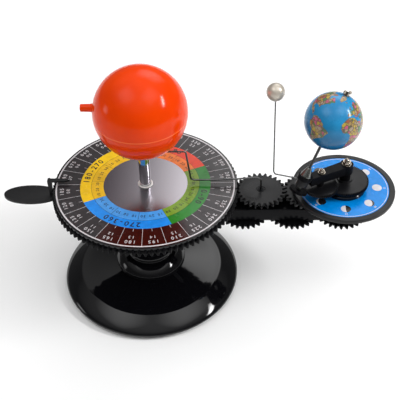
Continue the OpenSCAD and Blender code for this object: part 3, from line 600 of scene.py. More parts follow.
armLength = jointAt["carriage_turn"].x
idlerStep = jointAt["idler_one_turn"].x
firstX = jointAt["first_wheel_turn"].x
secondX = jointAt["second_wheel_turn"].x
coarse = idlerStep / teeth["equal"]
lowerGear = {"z0": low("fixed_gear").z, "z1": high("fixed_gear").z, "hub": 8, "hollow": 1.1, "rim": 3.5}


def equalWeb(bore):
    g = lowerGear
    floor = g["z0"] + g["hollow"]

    def profile(edge):
        return softened([(bore, g["z0"]), (g["hub"], g["z0"]), (g["hub"] + 0.4, floor),
                         (edge - g["rim"], floor), (edge - g["rim"] + 0.6, g["z0"]), (edge, g["z0"]),
                         (edge, g["z1"]), (bore, g["z1"])], 0.3)
    return profile


equalTurn = [0.0]
for i in range(4):
    equalTurn.append(mate(0, equalTurn[-1], teeth["equal"], teeth["equal"]))
equalGears = [("fixedGear", "base", "fixed_gear"), ("idlerGearOne", "idler_one", "idler_gear_1"),
              ("idlerGearTwo", "idler_two", "idler_gear_2"),
              ("idlerGearThree", "idler_three", "idler_gear_3"),
              ("carriageGear", "carriage", "carriage_gear")]
for i, (name, body, node) in enumerate(equalGears):
    bore = gearForm["pinBore" if i else "neckBore"]
    gear(name, teeth["equal"], coarse, False, lowerGear["z0"], lowerGear["z1"], equalTurn[i],
         (i * idlerStep, 0), equalWeb(bore), shadeBlack, body, [node])
print("lower gears made")

upperGear = {"ringOuter": 5.2, "ringInner": 4.0, "groove": 0.5}


def upperWeb(z0, z1, bore):
    g = upperGear
    floor = z1 - g["groove"]

    def profile(edge):
        return softened([(bore, z0), (edge, z0), (edge, z1), (g["ringOuter"], z1),
                         (g["ringOuter"] - 0.3, floor), (g["ringInner"] + 0.3, floor),
                         (g["ringInner"], z1), (bore, z1)], 0.2)
    return profile


firstTurn = mate(0, 0, teeth["dial"], teeth["first"])
secondTurn = mate(0, firstTurn, teeth["first"], teeth["second"])
for name, count, x, turn, body, node in (
        ("firstGear", teeth["first"], firstX, firstTurn, "first_wheel", "first_gear"),
        ("secondGear", teeth["second"], secondX, secondTurn, "second_wheel", "second_gear")):
    z0, z1 = low(node).z, high(node).z
    gear(name, count, coarse, False, z0, z1, turn, (x, 0), upperWeb(z0, z1, gearForm["pinBore"]),
         gearBlack, body, [node])

dialGear = {"rimDepth": 15, "web": 3.5, "hub": 18, "tall": 7.6, "bore": 10.1}


def dialWeb(edge):
    z0, z1 = low("dial_gear").z, high("dial_gear").z
    g = dialGear
    rimLow = z1 - g["tall"]
    rimInner = edge - g["rimDepth"]
    return softened([(g["bore"], z0), (g["hub"], z0), (g["hub"] + 0.5, z1 - g["web"]),
                     (rimInner, z1 - g["web"]), (rimInner + 0.5, rimLow), (edge, rimLow), (edge, z1),
                     (g["bore"], z1)], 0.3)


gear("dialGear", teeth["dial"], coarse, False, high("dial_gear").z - dialGear["tall"], high("dial_gear").z,
     0, (0, 0), dialWeb, shadeBlack, "base", ["dial_gear"])
print("upper gears made")


# Foot and column

foot = {"waist": 7, "crestRadius": 83, "crestHeight": 21.6, "bevelReach": 2.6, "bevelSlope": 0.53,
        "rollHigh": 3.2, "rollReach": 10, "undercut": 97.5, "under": 1.6, "wellRadius": 68.1, "wellFoot": 5,
        "wellTop": 12, "valleyRadius": 76, "valleyHeight": 22.2, "valleyReach": 3, "flange": 41,
        "flangeEdge": 35,
        "flangeSide": 5, "coneReach": 12, "coneSlope": 0.3, "flangeTop": 32, "flangeHeight": 44,
        "seatRadius": 20.1, "seatDepth": 6}


def bezier(corners, steps):
    # points of a cubic curve after its first one
    points = []
    for k in range(1, steps + 1):
        t = k / steps
        weights = ((1 - t) ** 3, 3 * t * (1 - t) ** 2, 3 * t * t * (1 - t), t ** 3)
        points.append(tuple(sum(w * c[i] for w, c in zip(weights, corners)) for i in (0, 1)))
    return points


def footProfile():
    # underside, wide round rim, soft crest, the cone up to the flange, the flange and the hollow inside
    f = foot
    outer = radiusOf("base_shell")
    crest, top = f["crestRadius"], f["crestHeight"]
    shoulder = (crest + f["bevelReach"], top - f["bevelReach"] * f["bevelSlope"] * 0.5)
    valley = (f["valleyRadius"], f["valleyHeight"])
    brim = (f["flange"], f["flangeEdge"] - f["flangeSide"])
    points = [(f["wellRadius"], f["wellFoot"]), (f["undercut"] - 8, f["under"]),
              (f["undercut"], f["under"])]
    points += bezier([points[-1], (f["undercut"] + 4, f["under"]), (outer, f["waist"] - 3),
                      (outer, f["waist"])], 10)
    points += bezier([(outer, f["waist"]), (outer, f["waist"] + f["rollHigh"]),
                      (shoulder[0] + f["rollReach"], shoulder[1] - f["rollReach"] * f["bevelSlope"]),
                      shoulder], 24)
    points += bezier([shoulder, (crest + f["bevelReach"] * 0.5, top), (crest, top),
                      (crest - 1.5, top + 0.06)], 8)
    points += bezier([points[-1], (crest - 3, top + 0.2), (valley[0] + f["valleyReach"], valley[1] - 0.4),
                      valley], 12)
    points += bezier([valley, (valley[0] - f["valleyReach"], valley[1] + 0.3),
                      (brim[0] + f["coneReach"], brim[1] - f["coneReach"] * f["coneSlope"]), brim], 24)
    edge, top = f["flangeEdge"], f["flangeHeight"]
    points += softened([(f["flange"], edge - 3, 0.1), (f["flange"], edge, 0.9),
                        ((f["flange"] + f["flangeTop"]) / 2 + 0.5, (edge + top) / 2 + 0.7, 3),
                        (f["flangeTop"], top, 0.9), (f["seatRadius"], top, 0.1),
                        (f["seatRadius"], top - f["seatDepth"], 0.1),
                        (f["wellRadius"], f["wellTop"], 0.1)], 0.1, 5)
    return points


lathe("foot", footProfile(), glossBlack, "base", ["base_shell"], 192, sharp=50)
feltRadius = min(radiusOf("felt_disc"), foot["undercut"] - 1)
lathe("feltDisc", softened([(0, 0), (feltRadius, 0), (feltRadius, foot["under"]), (0, foot["under"])], 0.5),
      darkFelt, "base", ["felt_disc"], 128)

pillar = {"footRadius": 27, "radius": 25, "waist": 23.5, "shoulder": 3, "neck": 10}


def columnProfile():
    p = pillar
    base = foot["flangeHeight"]
    top = low("fixed_gear").z - 1
    dialFoot = high("column").z
    points = [(0, base - 6), (20, base - 6), (20, base), (p["footRadius"], base, 0.3),
              (p["footRadius"], base + 1.6, 0.8), (p["radius"] + 0.4, base + 4.4, 2),
              (p["waist"], top - 12, 6), (p["waist"] + 0.2, top - 6, 2),
              (p["radius"], top - p["shoulder"], 1),
              (p["radius"], top, 1), (14, top, 0.4), (14, top + 1, 0.2), (p["neck"], top + 1, 0.1),
              (p["neck"], dialFoot, 0.3), (0, dialFoot)]
    return softened(points, 0.4, 5)


lathe("columnBody", columnProfile(), glossBlack, "base", ["column"], 128, sharp=40)
print("foot and column made")


# Dial: plate, printed sheet in zones, lines and numbers

dial = {"sectors": 24, "sectorStart": 1.5, "monthStart": 26, "seasonStart": 26, "discRadius": 47,
        "monthRadius": 60.5, "seasonRadius": 73, "ringInner": 98.6, "ringOuter": 100.2,
        "warmStart": 241.5, "warmEnd": 301.5, "lineWidth": 0.45, "fineLine": 0.3, "tickEnd": 77.5,
        "inkDepth": 0.06, "sheetDepth": 0.28, "pocket": 0.3, "rodHole": 6.5, "plateHole": 6.3}
dialTop = high("dial_label").z
dialRadius = radiusOf("dial_plate")
labelRadius = radiusOf("dial_label")
seasonInks = ["red", "yellow", "blue", "green"]
monthInks = ["orange", "amber", "sky", "lime"]


def dialInk(r, angle):
    d = dial
    season = int(((angle - d["seasonStart"]) % 360) // 90)
    if r < d["discRadius"]:
        return "silver"
    if r < d["monthRadius"]:
        return monthInks[season]
    if r < d["seasonRadius"]:
        return seasonInks[season]
    if r < d["ringInner"]:
        return "maroon" if d["warmStart"] < angle < d["warmEnd"] else "slate"
    if r < d["ringOuter"]:
        return "white"
    return "edge"


def printedSheet(name, radii, angles, inkAt, top, depth, centre, body, replaced):
    bm = bmesh.new()
    used = sorted({inkAt((radii[i] + radii[i + 1]) / 2, angles[0] + 0.1 + k * 0.9)
                   for i in range(len(radii) - 1) for k in range(400)})
    grid = [[bm.verts.new(((centre[0] + r * math.cos(math.radians(a))) * mm,
                           (centre[1] + r * math.sin(math.radians(a))) * mm, top * mm)) for a in angles]
            for r in radii]
    count = len(angles)
    for i in range(len(radii) - 1):
        for k in range(count):
            after = angles[(k + 1) % count] + (360 if k == count - 1 else 0)
            beside = (k + 1) % count
            face = bm.faces.new((grid[i][k], grid[i + 1][k], grid[i + 1][beside], grid[i][beside]))
            face.material_index = used.index(inkAt((radii[i] + radii[i + 1]) / 2,
                                                   (angles[k] + after) / 2 % 360))
    upper = list(bm.faces)
    lower = bmesh.ops.duplicate(bm, geom=upper + list(bm.edges) + list(bm.verts))
    for v in (e for e in lower["geom"] if isinstance(e, bmesh.types.BMVert)):
        v.co.z -= depth * mm
    shifted = [e for e in lower["geom"] if isinstance(e, bmesh.types.BMFace)]
    bmesh.ops.reverse_faces(bm, faces=shifted)
    rims = [e for e in bm.edges if len(e.link_faces) == 1]
    bmesh.ops.bridge_loops(bm, edges=[e for e in rims if isOuter(e, radii, centre)])
    bmesh.ops.bridge_loops(bm, edges=[e for e in bm.edges if len(e.link_faces) == 1])
    return finishMesh(name, bm, [inks[u] for u in used], body, replaced, 30)


def isOuter(edge, radii, centre):
    middle = (edge.verts[0].co.xy + edge.verts[1].co.xy) / 2 - Vector(centre) * mm
    return middle.length > (radii[0] + radii[-1]) / 2 * mm


def stepAngles(step, extra):
    angles = {round(i * step, 4) for i in range(int(360 / step))}
    for start, pitch in extra:
        angles |= {round((start + pitch * i) % 360, 4) for i in range(int(360 / pitch))}
    return sorted(angles)


dialRadii = [dial["rodHole"], 26, dial["discRadius"], dial["monthRadius"], dial["seasonRadius"], 86,
             dial["ringInner"], dial["ringOuter"], labelRadius - 0.05]
printedSheet("dialSheet", dialRadii, stepAngles(1.5, [(dial["seasonStart"], 90)]), dialInk, dialTop,
             dial["sheetDepth"], (0, 0), "base", ["dial_label"])
plateLow, pocketFloor = low("dial_plate").z, dialTop - dial["pocket"]
lathe("dialPlate", softened([(dial["plateHole"], plateLow), (dialRadius, plateLow, 0.7),
                             (dialRadius, dialTop, 0.6),
                             (labelRadius, dialTop, 0.15), (labelRadius, pocketFloor, 0.02),
                             (dial["plateHole"], pocketFloor)], 0.2, 5),
      glossBlack, "base", ["dial_plate"], 192)


def barMesh(name, r0, r1, width):
    bm = bmesh.new()
    depth = dial["inkDepth"]
    outline = [(r0, -width / 2), (r1, -width / 2), (r1, width / 2), (r0, width / 2)]
    addPlate(bm, outline, dialTop - depth * 0.5, dialTop + depth * 0.5, depth * 0.2, 1)
    return meshOf(name, bm)


def ringBand(name, radius, halfWidth, top, material, centre=(0, 0)):
    bm = bmesh.new()
    inner, outer, half = radius - halfWidth, radius + halfWidth, dial["inkDepth"] / 2
    addLathe(bm, [(inner, top - half), (outer, top - half), (outer, top + half), (inner, top + half)], 144,
             centre)
    return finishMesh(name, bm, material, None)


sectorBar = barMesh("sectorBar", dial["seasonRadius"], dial["ringInner"], dial["lineWidth"])
tickBar = barMesh("tickBar", dial["seasonRadius"] + 0.4, dial["tickEnd"], dial["lineWidth"])
monthBar = barMesh("monthBar", dial["discRadius"], dial["monthRadius"], 0.35)
halfSector = 180 / dial["sectors"]
seat(merged("dialLightLines", [
    ringOf("sectorLines", sectorBar, dial["sectors"], inks["white"], dial["sectorStart"]),
    ringOf("middleTicks", tickBar, dial["sectors"], inks["white"], dial["sectorStart"] + halfSector)]),
    "base")
seat(merged("dialDarkLines", [
    ringOf("monthLines", monthBar, 12, inks["line"], dial["monthStart"]),
    ringBand("monthCircle", dial["monthRadius"], dial["fineLine"] / 2, dialTop, inks["line"])]),
    "base")
print("dial sheet made")


def numberMesh(text, size, radius, angle, top, material, bold=0.0, centre=(0, 0)):
    # a number whose top points outwards
    curve = bpy.data.curves.new("number", "FONT")
    curve.body = text
    curve.size = size * mm
    curve.align_x = "CENTER"
    curve.align_y = "CENTER"
    curve.offset = bold * mm
    curve.extrude = dial["inkDepth"] * 0.5 * mm
    curve.resolution_u = 3
    holder = putInScene("number", curve)
    bpy.context.view_layer.update()
    mesh = bpy.data.meshes.new_from_object(holder.evaluated_get(bpy.context.evaluated_depsgraph_get()))
    bpy.data.objects.remove(holder)
    a = math.radians(angle)
    place = Matrix.Translation(((centre[0] + radius * math.cos(a)) * mm,
                                (centre[1] + radius * math.sin(a)) * mm,
                                (top + 0.01) * mm))
    mesh.transform(place @ Matrix.Rotation(a - math.pi / 2, 4, "Z"))
    mesh.materials.clear()
    mesh.materials.append(material)
    return putInScene("number", mesh)


# Rows of numbers: size, radius, boldness and spacing of each
rowForms = {"degree": (6.2, 93, 0.06, 0.7), "order": (5.6, 86, 0.03, 0.7), "day": (5, 53.6, 0.05, 0.62),
            "season": (9.5, 66.6, 0.16, 0.66)}


def numberArc(text, form, angle, material):
    # each figure stands on the circle by itself; the row reads clockwise with its tops outwards
    size, radius, bold, spacing = rowForms[form]
    step = math.degrees(size * spacing / radius)
    return [numberMesh(letter, size, radius, angle - (i - (len(text) - 1) / 2) * step, dialTop, material,
                       bold)
            for i, letter in enumerate(text) if letter != " "]


lightNumbers = []
for i in range(dial["sectors"]):
    middle = dial["sectorStart"] + halfSector * (2 * i + 1)
    value = (i * 15 + 285) % 360
    lightNumbers += numberArc(f"{value:03d}", "degree", middle, inks["white"])
    lightNumbers += numberArc(f"{value // 15 + 1:02d}", "order", middle, inks["white"])
seat(merged("dialLightNumbers", lightNumbers), "base")
darkNumbers = []
for i in range(12):
    darkNumbers += numberArc("10 20 30", "day", dial["monthStart"] + 15 + i * 30, inks["line"])
for i in range(4):
    quarter = (i + 1) % 4 * 90
    darkNumbers += numberArc(f"{quarter}-{quarter + 90}", "season", dial["seasonStart"] + 45 + i * 90,
                             inks["line"])
seat(merged("dialDarkNumbers", darkNumbers), "base")
print("dial numbers made")

washer = {"inner": 6.3, "outer": radiusOf("dial_washer"), "high": 1, "edge": 0.3}
washerTop = dialTop + washer["high"]
lathe("dialWasher", softened([(washer["inner"], dialTop), (washer["outer"], dialTop),
                              (washer["outer"], washerTop),
                              (washer["inner"], washerTop)], washer["edge"]),
      whitePlastic, "base", ["dial_washer"], 64)


# Sun: rod, hollow ball with a seam, and the stub it was filled through

sun = {"centre": 244, "radius": 50, "seamDrop": 3, "seamHigh": 0.3, "seamWidth": 0.35, "seamHighlightWidth": 0.6,
       "stubRadius": 4, "stubLength": 12, "stubRise": 5.5}


def sunMaterial():
    # glossy red plastic, with a painted highlight: a lighter band along the moulding seam
    material, shader = makeMaterial("sunPlastic", {
        "IOR": 1.48, "Specular IOR Level": 0.1, "Coat Weight": 0.14, "Coat Roughness": 0.0})
    clouds = mapped(material, objectNoise(material, 26, 3), 0.35, 0.7, 0, 1)
    tone = blend(material, clouds, (0.8, 0.045, 0.0), (0.86, 0.056, 0.0))
    coords = addNode(material, "ShaderNodeTexCoord")
    parts = addNode(material, "ShaderNodeSeparateXYZ")
    join(material, coords.outputs["Object"], parts.inputs["Vector"])
    # painted highlight: lighter colour within a narrow band around the seam height
    seam = addNode(material, "ShaderNodeMath", {"operation": "COMPARE"})
    join(material, parts.outputs["Z"], seam.inputs[0])
    seam.inputs[1].default_value = (sun["centre"] - sun["seamDrop"]) * mm
    seam.inputs[2].default_value = sun["seamHighlightWidth"] * mm
    addTone(material, shader, seam.outputs["Value"], tone, (0.95, 0.15, 0.03))
    spread(material, shader, objectNoise(material, 60, 3), 0.1, 0.18)
    addBump(material, shader, objectNoise(material, 24, 1), 0.1, 0.0006)
    addBump(material, shader, objectNoise(material, 2200, 2), 0.04, 0.00004)
    return material


def sunMesh():
    s = sun
    bm = bmesh.new()
    rows = 180
    profile = []
    for i in range(rows + 1):
        a = math.pi * i / rows
        z = -math.cos(a) * s["radius"]
        ridge = s["seamHigh"] * math.exp(-((z + s["seamDrop"]) / s["seamWidth"]) ** 2)
        profile.append((0 if i in (0, rows) else (s["radius"] + ridge) * math.sin(a), s["centre"] + z))
    addLathe(bm, profile, 160)
    along = Matrix.Translation((0, 0, (s["centre"] + s["stubRise"]) * mm)) @ Matrix.Rotation(-math.pi / 2,
        4, "Y")
    root, length = s["radius"] - 3, s["radius"] + s["stubLength"]
    stub = softened([(0, root), (s["stubRadius"] + 1.6, root, 0.1),
                     (s["stubRadius"] + 0.2, s["radius"] + 1.2, 1.2),
                     (s["stubRadius"], length, 1.1), (0, length)], 0.2, 5)
    addLathe(bm, stub, 48, (0, 0), along)
    return bm


finishMesh("sunBall", sunMesh(), sunMaterial(), "base", ["sun_ball"])
rod = {"radius": 6.2, "shank": 4.2, "foot": low("sun_rod").z, "shoulder": dialTop - 3,
       "top": sun["centre"] - 45}
lathe("sunRod", softened([(0, rod["foot"]), (rod["shank"], rod["foot"]), (rod["shank"], rod["shoulder"]),
                          (rod["radius"], rod["shoulder"]), (rod["radius"], rod["top"]), (0, rod["top"])],
                          0.3),
      brightChrome, "base", ["sun_rod"], 64)
print("sun made")


# Arm and handle

arm = {"half": 20, "z0": low("arm_beam").z, "z1": high("arm_beam").z, "back": -100, "casing": 117,
       "step": 0.8}
nose = high("arm_beam").x
armBm = bmesh.new()
addPlate(armBm, [(arm["back"], -arm["half"]), (nose - arm["half"], -arm["half"])] +
         arc(nose - arm["half"], 0, arm["half"], -90, 90, 32)[1:] + [(arm["back"], arm["half"])],
         arm["z0"], arm["z1"] - 0.02, 1.0, 4)
wide = arm["half"] + arm["step"]
addPlate(armBm, [(arm["back"], -wide), (arm["casing"], -wide), (arm["casing"], wide), (arm["back"], wide)],
         arm["z0"] + 0.02, arm["z1"], 1.0, 4)
finishMesh("armBeam", armBm, armBlack, "arm", ["arm_beam", "arm_cover"])

handle = {"length": 63, "width": 29, "edge": 0.7, "thick": 4.2, "neck": 8, "neckStart": -114,
          "neckEnd": -90.2,
          "tabStart": -98, "tabEnd": -90}
handleLow, handleHigh = low("handle"), high("handle")
paddleX = handleLow.x + handle["length"] / 2


def oblong(start, end, half):
    return [(start, -half), (end, -half), (end, half), (start, half)]


handleBm = bmesh.new()
paddle = [(paddleX + handle["length"] / 2 * math.cos(tau * i / 96),
           handle["width"] / 2 * math.sin(tau * i / 96))
          for i in range(96)]
addPlate(handleBm, paddle, handleHigh.z - handle["thick"], handleHigh.z, handle["edge"], 4)
addPlate(handleBm, oblong(handle["neckStart"], handle["neckEnd"], handle["neck"]), handleHigh.z - 4.1,
         handleHigh.z - 0.1, 0.8, 3)
addPlate(handleBm, oblong(handle["tabStart"], handle["tabEnd"], handle["neck"]), handleLow.z,
         handleHigh.z - 2, 0.6, 3)
finishMesh("handlePaddle", handleBm, satinBlack, "arm", ["handle"])
print("arm and handle made")


# Sunray wire

ray = {"radius": 1.0, "bend": 2.6}
rayTop = sun["centre"] - sun["radius"] - 2
gearTop = high("first_gear").z
rayPath = [(7.7, rayTop), (46, rayTop), (50.8, dialTop + 7.2), (54.4, dialTop + 5.5), (75, dialTop + 5.7),
           (103, dialTop + 7.2), (firstX - 4, dialTop + 9.4), (firstX, dialTop + 6), (firstX, gearTop - 9)]
wire("sunrayWire", [(x, 0, z) for x, z in rayPath], ray["radius"], ray["bend"], wireSteel, "arm",
     ["sunray_wire"])

# Phase disc: rim, printed sheet and the eight phases

phase = {"labelRadius": 50.35, "lineRadius": 48.9, "lineHalf": 0.3, "symbolRadius": 37, "symbolSize": 5.4,
         "first": -2.5, "daySize": 3.4, "dayRadius": 45.2, "hole": 7.1, "lip": 0.6, "seat": 24.1}
spindle = (armLength, 0)
phaseLow, phaseHigh = low("phase_disc").z, high("phase_disc").z
phaseR = radiusOf("phase_disc")
phaseTop = high("phase_label").z
phaseFloor = phaseTop - dial["pocket"]
lipRadius = phase["labelRadius"] + 0.02
lathe("phasePlate", softened([(phase["hole"], phaseLow), (phaseR, phaseLow, 1.1), (phaseR, phaseHigh, 1.0),
                              (phase["labelRadius"] + 0.7, phaseHigh, 0.3),
                              (lipRadius, phaseHigh - phase["lip"], 0.1),
                              (lipRadius, phaseFloor), (phase["hole"], phaseFloor)], 0.2, 5),
      satinBlack, "arm", ["phase_disc"], 160, spindle)
printedSheet("phaseSheet", [phase["seat"], 38, phase["labelRadius"] - 0.05], stepAngles(3, []),
             lambda r, a: "phaseBlue", phaseTop, dial["sheetDepth"], spindle, "arm",
             ["phase_label"])


def moonSymbol(angle, lit, waning, size):
    # a disc in two inks: lit is the white share, left while the moon wanes and right while it grows
    a = math.radians(angle)
    middle = Vector(spindle) + Vector((math.cos(a), math.sin(a))) * phase["symbolRadius"]
    bm = bmesh.new()
    rows = []
    for k in range(41):
        u = -1 + k / 20
        reach = math.sqrt(max(0, 1 - u * u)) * size
        split = (2 * lit - 1) * reach * (1 if waning else -1)
        rows.append([bm.verts.new(((middle.x + x) * mm, (middle.y + u * size) * mm, (phaseTop + 0.03) * mm))
                     for x in (-reach, split, reach)])
    for a, b in zip(rows, rows[1:]):
        for i in (0, 1):
            face = bm.faces.new((a[i], a[i + 1], b[i + 1], b[i]))
            face.material_index = 0 if (i == 0) == waning else 1
    bmesh.ops.remove_doubles(bm, verts=bm.verts, dist=1e-7)
    bmesh.ops.dissolve_degenerate(bm, dist=1e-7, edges=bm.edges)
    return finishMesh("symbol", bm, [inks["white"], inks["line"]], None)


symbols = []
for i, lit in enumerate((1.0, 0.8, 0.5, 0.2, 0.0, 0.2, 0.5, 0.8)):
    symbols.append(moonSymbol(phase["first"] - 45 * i, lit, i < 5, phase["symbolSize"]))
symbols.append(ringBand("phaseLine", phase["lineRadius"], phase["lineHalf"], phaseTop, inks["white"],
                        spindle))
for i, day in enumerate(("15", "18", "22", "26", "0", "4", "7", "11")):
    symbols.append(numberMesh(day, phase["daySize"], phase["dayRadius"], phase["first"] - 45 * i, phaseTop,
                              inks["white"], 0.03, spindle))
seat(merged("phaseSymbols", symbols), "arm")
print("phase disc made")


# Fine gears: the large wheel on the spindle and the relay gear on the bridge

relayAt = jointAt["relay_turn"]
fine = 2 * math.hypot(relayAt.x - armLength, relayAt.y) / (teeth["large"] + teeth["relayPinion"])
bridgeTurn = math.degrees(math.atan2(relayAt.y, relayAt.x - armLength))
largeWheel = {"hub": 8, "hubHigh": 1.6}
largeLow, largeTop = low("large_gear").z, high("large_gear").z
largeHigh = largeTop - largeWheel["hubHigh"]


def largeWeb(edge):
    bore, hub = gearForm["pinBore"], largeWheel["hub"]
    return softened([(bore, largeLow), (edge, largeLow), (edge, largeHigh), (hub + 0.4, largeHigh),
                     (hub, largeTop), (bore, largeTop)], 0.2)


gear("largeGear", teeth["large"], fine, True, largeLow, largeHigh, bridgeTurn, spindle, largeWeb,
     gearBlack, "sleeve",
     ["large_gear"])

tilt = math.acos(jointAxis["earth_turn"].z)
axis = jointAxis["earth_turn"]
outward = Vector((-axis.x, -axis.y, 0)).normalized()
acrossAxis = outward * math.cos(tilt) + Vector((0, 0, math.sin(tilt)))
sideways = axis.cross(acrossAxis)
tiltPlace = Matrix.Translation(jointAt["earth_turn"] * mm) @ Matrix((acrossAxis, sideways,
                                                                     axis)).transposed().to_4x4()
relayCone = math.atan(math.sin(tilt) / (teeth["earth"] / teeth["relay"] + math.cos(tilt)))
apex = fine * teeth["relay"] / 2 / math.tan(relayCone)


relayForm = {"low": -2.08, "high": 1.12, "bore": 1.56, "hub": 4, "hubTop": 5}


def relayWeb(edge):
    r = relayForm
    return softened([(r["bore"], r["low"]), (edge, r["low"]), (edge - 0.5, r["high"]),
                     (r["hub"], r["high"]),
                     (r["hub"], r["hubTop"]), (r["bore"], r["hubTop"])], 0.15)


bridgePlace = Matrix.Translation(relayAt * mm) @ Matrix.Rotation(math.radians(bridgeTurn), 4, "Z")
gear("relayGear", teeth["relay"], fine, True, relayForm["low"], relayForm["high"], 0, (0, 0), relayWeb,
     gearBlack,
     "relay", ["relay_gear"], bridgePlace, lambda z: (apex - z) / apex)
print("fine gears made")


# Globe

globe = {"s": 77.2, "radius": 30, "columns": 360, "rows": 180, "facing": 80, "shadeFrom": 20, "shadeOver": 80}
land = {
    "northAmerica": [(-168, 66), (-160, 71), (-140, 70), (-125, 70), (-110, 68), (-95, 72), (-82, 73),
        (-82, 68), (-94, 60), (-88, 56), (-80, 52), (-79, 60), (-72, 62), (-65, 58), (-56, 52),
        (-66, 48), (-65, 44), (-70, 42), (-75, 37), (-81, 31), (-80, 25), (-83, 29), (-90, 29),
        (-97, 27), (-97, 21), (-90, 21), (-88, 17), (-83, 15), (-83, 9), (-79, 8), (-85, 10), (-92, 14),
        (-105, 20), (-113, 30), (-118, 34), (-124, 41), (-124, 48), (-133, 56), (-148, 60), (-162, 56),
        (-158, 60), (-166, 62)],
    "greenland": [(-72, 78), (-60, 82), (-32, 83), (-18, 79), (-22, 72), (-30, 68), (-42, 60),
        (-50, 64), (-54, 70), (-60, 76)],
    "southAmerica": [(-79, 8), (-72, 12), (-61, 10), (-51, 4), (-50, 0), (-40, -3), (-35, -7),
        (-39, -15), (-41, -22), (-48, -27), (-56, -35), (-62, -39), (-66, -45), (-69, -52), (-74, -50),
        (-73, -40), (-71, -30), (-70, -18), (-76, -14), (-81, -5), (-78, 1)],
    "africa": [(-6, 35), (10, 37), (20, 32), (32, 31), (35, 24), (38, 18), (43, 11), (51, 11), (44, 2),
        (40, -8), (38, -17), (33, -26), (27, -34), (18, -34), (13, -20), (12, -6), (9, 3), (3, 6),
        (-8, 4), (-15, 11), (-17, 18), (-12, 28)],
    "europe": [(-9, 37), (-9, 43), (-1, 44), (-4, 48), (3, 51), (9, 54), (9, 58), (6, 62), (16, 69),
        (28, 71), (42, 67), (60, 69), (72, 73), (88, 75), (105, 78), (125, 73), (150, 72), (170, 70),
        (180, 67), (170, 60), (162, 58), (156, 51), (150, 59), (140, 54), (135, 44), (128, 38),
        (126, 34), (121, 40), (118, 38), (122, 31), (116, 23), (108, 20), (107, 11), (101, 13),
        (103, 2), (99, 9), (94, 16), (90, 22), (80, 15), (77, 8), (73, 19), (66, 25), (57, 26),
        (50, 30), (56, 24), (59, 22), (52, 16), (44, 13), (38, 22), (35, 29), (36, 36), (27, 37),
        (26, 41), (40, 42), (30, 46), (22, 40), (20, 40), (13, 45), (18, 40), (16, 38), (8, 44),
        (0, 40)],
    "australia": [(114, -22), (122, -18), (130, -12), (137, -12), (142, -11), (146, -19), (153, -27),
        (150, -37), (141, -38), (132, -32), (117, -35)],
    "antarctica": [(-180, -80), (-120, -74), (-60, -66), (-60, -75), (0, -70), (60, -67), (120, -66),
        (180, -78), (180, -91), (-180, -91)],
    "britain": [(-5, 50), (1, 51), (-2, 58), (-6, 57)],
    "iceland": [(-24, 65), (-14, 65), (-18, 67)],
    "madagascar": [(44, -24), (47, -25), (50, -15), (46, -16)],
    "japan": [(131, 31), (140, 35), (145, 44), (137, 37)],
    "borneo": [(109, 1), (117, 7), (118, -3), (110, -3)],
    "guinea": [(131, -1), (141, -3), (150, -10), (138, -8)],
    "sumatra": [(95, 5), (104, -2), (105, -6), (98, 1)],
    "zealand": [(167, -46), (174, -41), (178, -37), (171, -44)],
}


def inside(lon, lat, outline):
    hit = False
    for (x1, y1), (x2, y2) in zip(outline, outline[1:] + outline[:1]):
        if (y1 > lat) != (y2 > lat) and lon < (x2 - x1) * (lat - y1) / (y2 - y1) + x1:
            hit = not hit
    return hit


landTints = [(0.0, (0.5, 0.11, 0.2)), (0.16, (0.36, 0.25, 0.1)), (0.32, (0.08, 0.2, 0.09)),
             (0.5, (0.45, 0.33, 0.06)), (0.66, (0.34, 0.11, 0.06)), (0.8, (0.37, 0.29, 0.2))]


def globeMaterial():
    # coloured patches inside the coast lines, a sea darkened southwards as painted shade, and a clear coat
    material, shader = makeMaterial("globePrintAndPaintedShade", {
        "Coat Weight": 0.3, "Coat Roughness": 0.03, "Specular IOR Level": 0.2})
    share = addNode(material, "ShaderNodeAttribute", {"attribute_name": "landShare"}).outputs["Fac"]
    paintedShade = addNode(material, "ShaderNodeAttribute", {"attribute_name": "paintedShadeShare"}).outputs["Fac"]
    coords = addNode(material, "ShaderNodeTexCoord")
    patches = {"Scale": 280.0, "Randomness": 1.0}
    cells = addNode(material, "ShaderNodeTexVoronoi", inputs=patches)
    edges = addNode(material, "ShaderNodeTexVoronoi", {"feature": "DISTANCE_TO_EDGE"}, patches)
    for pattern in (cells, edges):
        join(material, coords.outputs["Object"], pattern.inputs["Vector"])
    hue = addNode(material, "ShaderNodeSeparateColor")
    join(material, cells.outputs["Color"], hue.inputs["Color"])
    ramp = addNode(material, "ShaderNodeValToRGB")
    ramp.color_ramp.interpolation = "CONSTANT"
    stops = ramp.color_ramp.elements
    stops[0].color = (*landTints[0][1], 1)
    stops[1].position = landTints[1][0]
    stops[1].color = (*landTints[1][1], 1)
    for position, tint in landTints[2:]:
        stops.new(position).color = (*tint, 1)
    join(material, hue.outputs["Red"], ramp.inputs["Fac"])
    border = mapped(material, edges.outputs["Distance"], 0.03, 0.1, 0, 1)
    ground = blend(material, border, (0.12, 0.09, 0.07), ramp.outputs["Color"])
    sea = blend(material, mapped(material, objectNoise(material, 60, 4), 0.35, 0.65, 0, 1),
                (0.012, 0.21, 0.46), (0.02, 0.27, 0.55))
    # painted shade: the sea darkens towards the south pole
    shadedSea = blend(material, paintedShade, sea, (0.006, 0.075, 0.19))
    shore = blend(material, mapped(material, share, 0.02, 0.3, 0, 0.7), shadedSea, (0.02, 0.07, 0.12))
    addTone(material, shader, mapped(material, share, 0.42, 0.58, 0, 1), shore, ground)
    spread(material, shader, objectNoise(material, 90, 3), 0.2, 0.32)
    return material


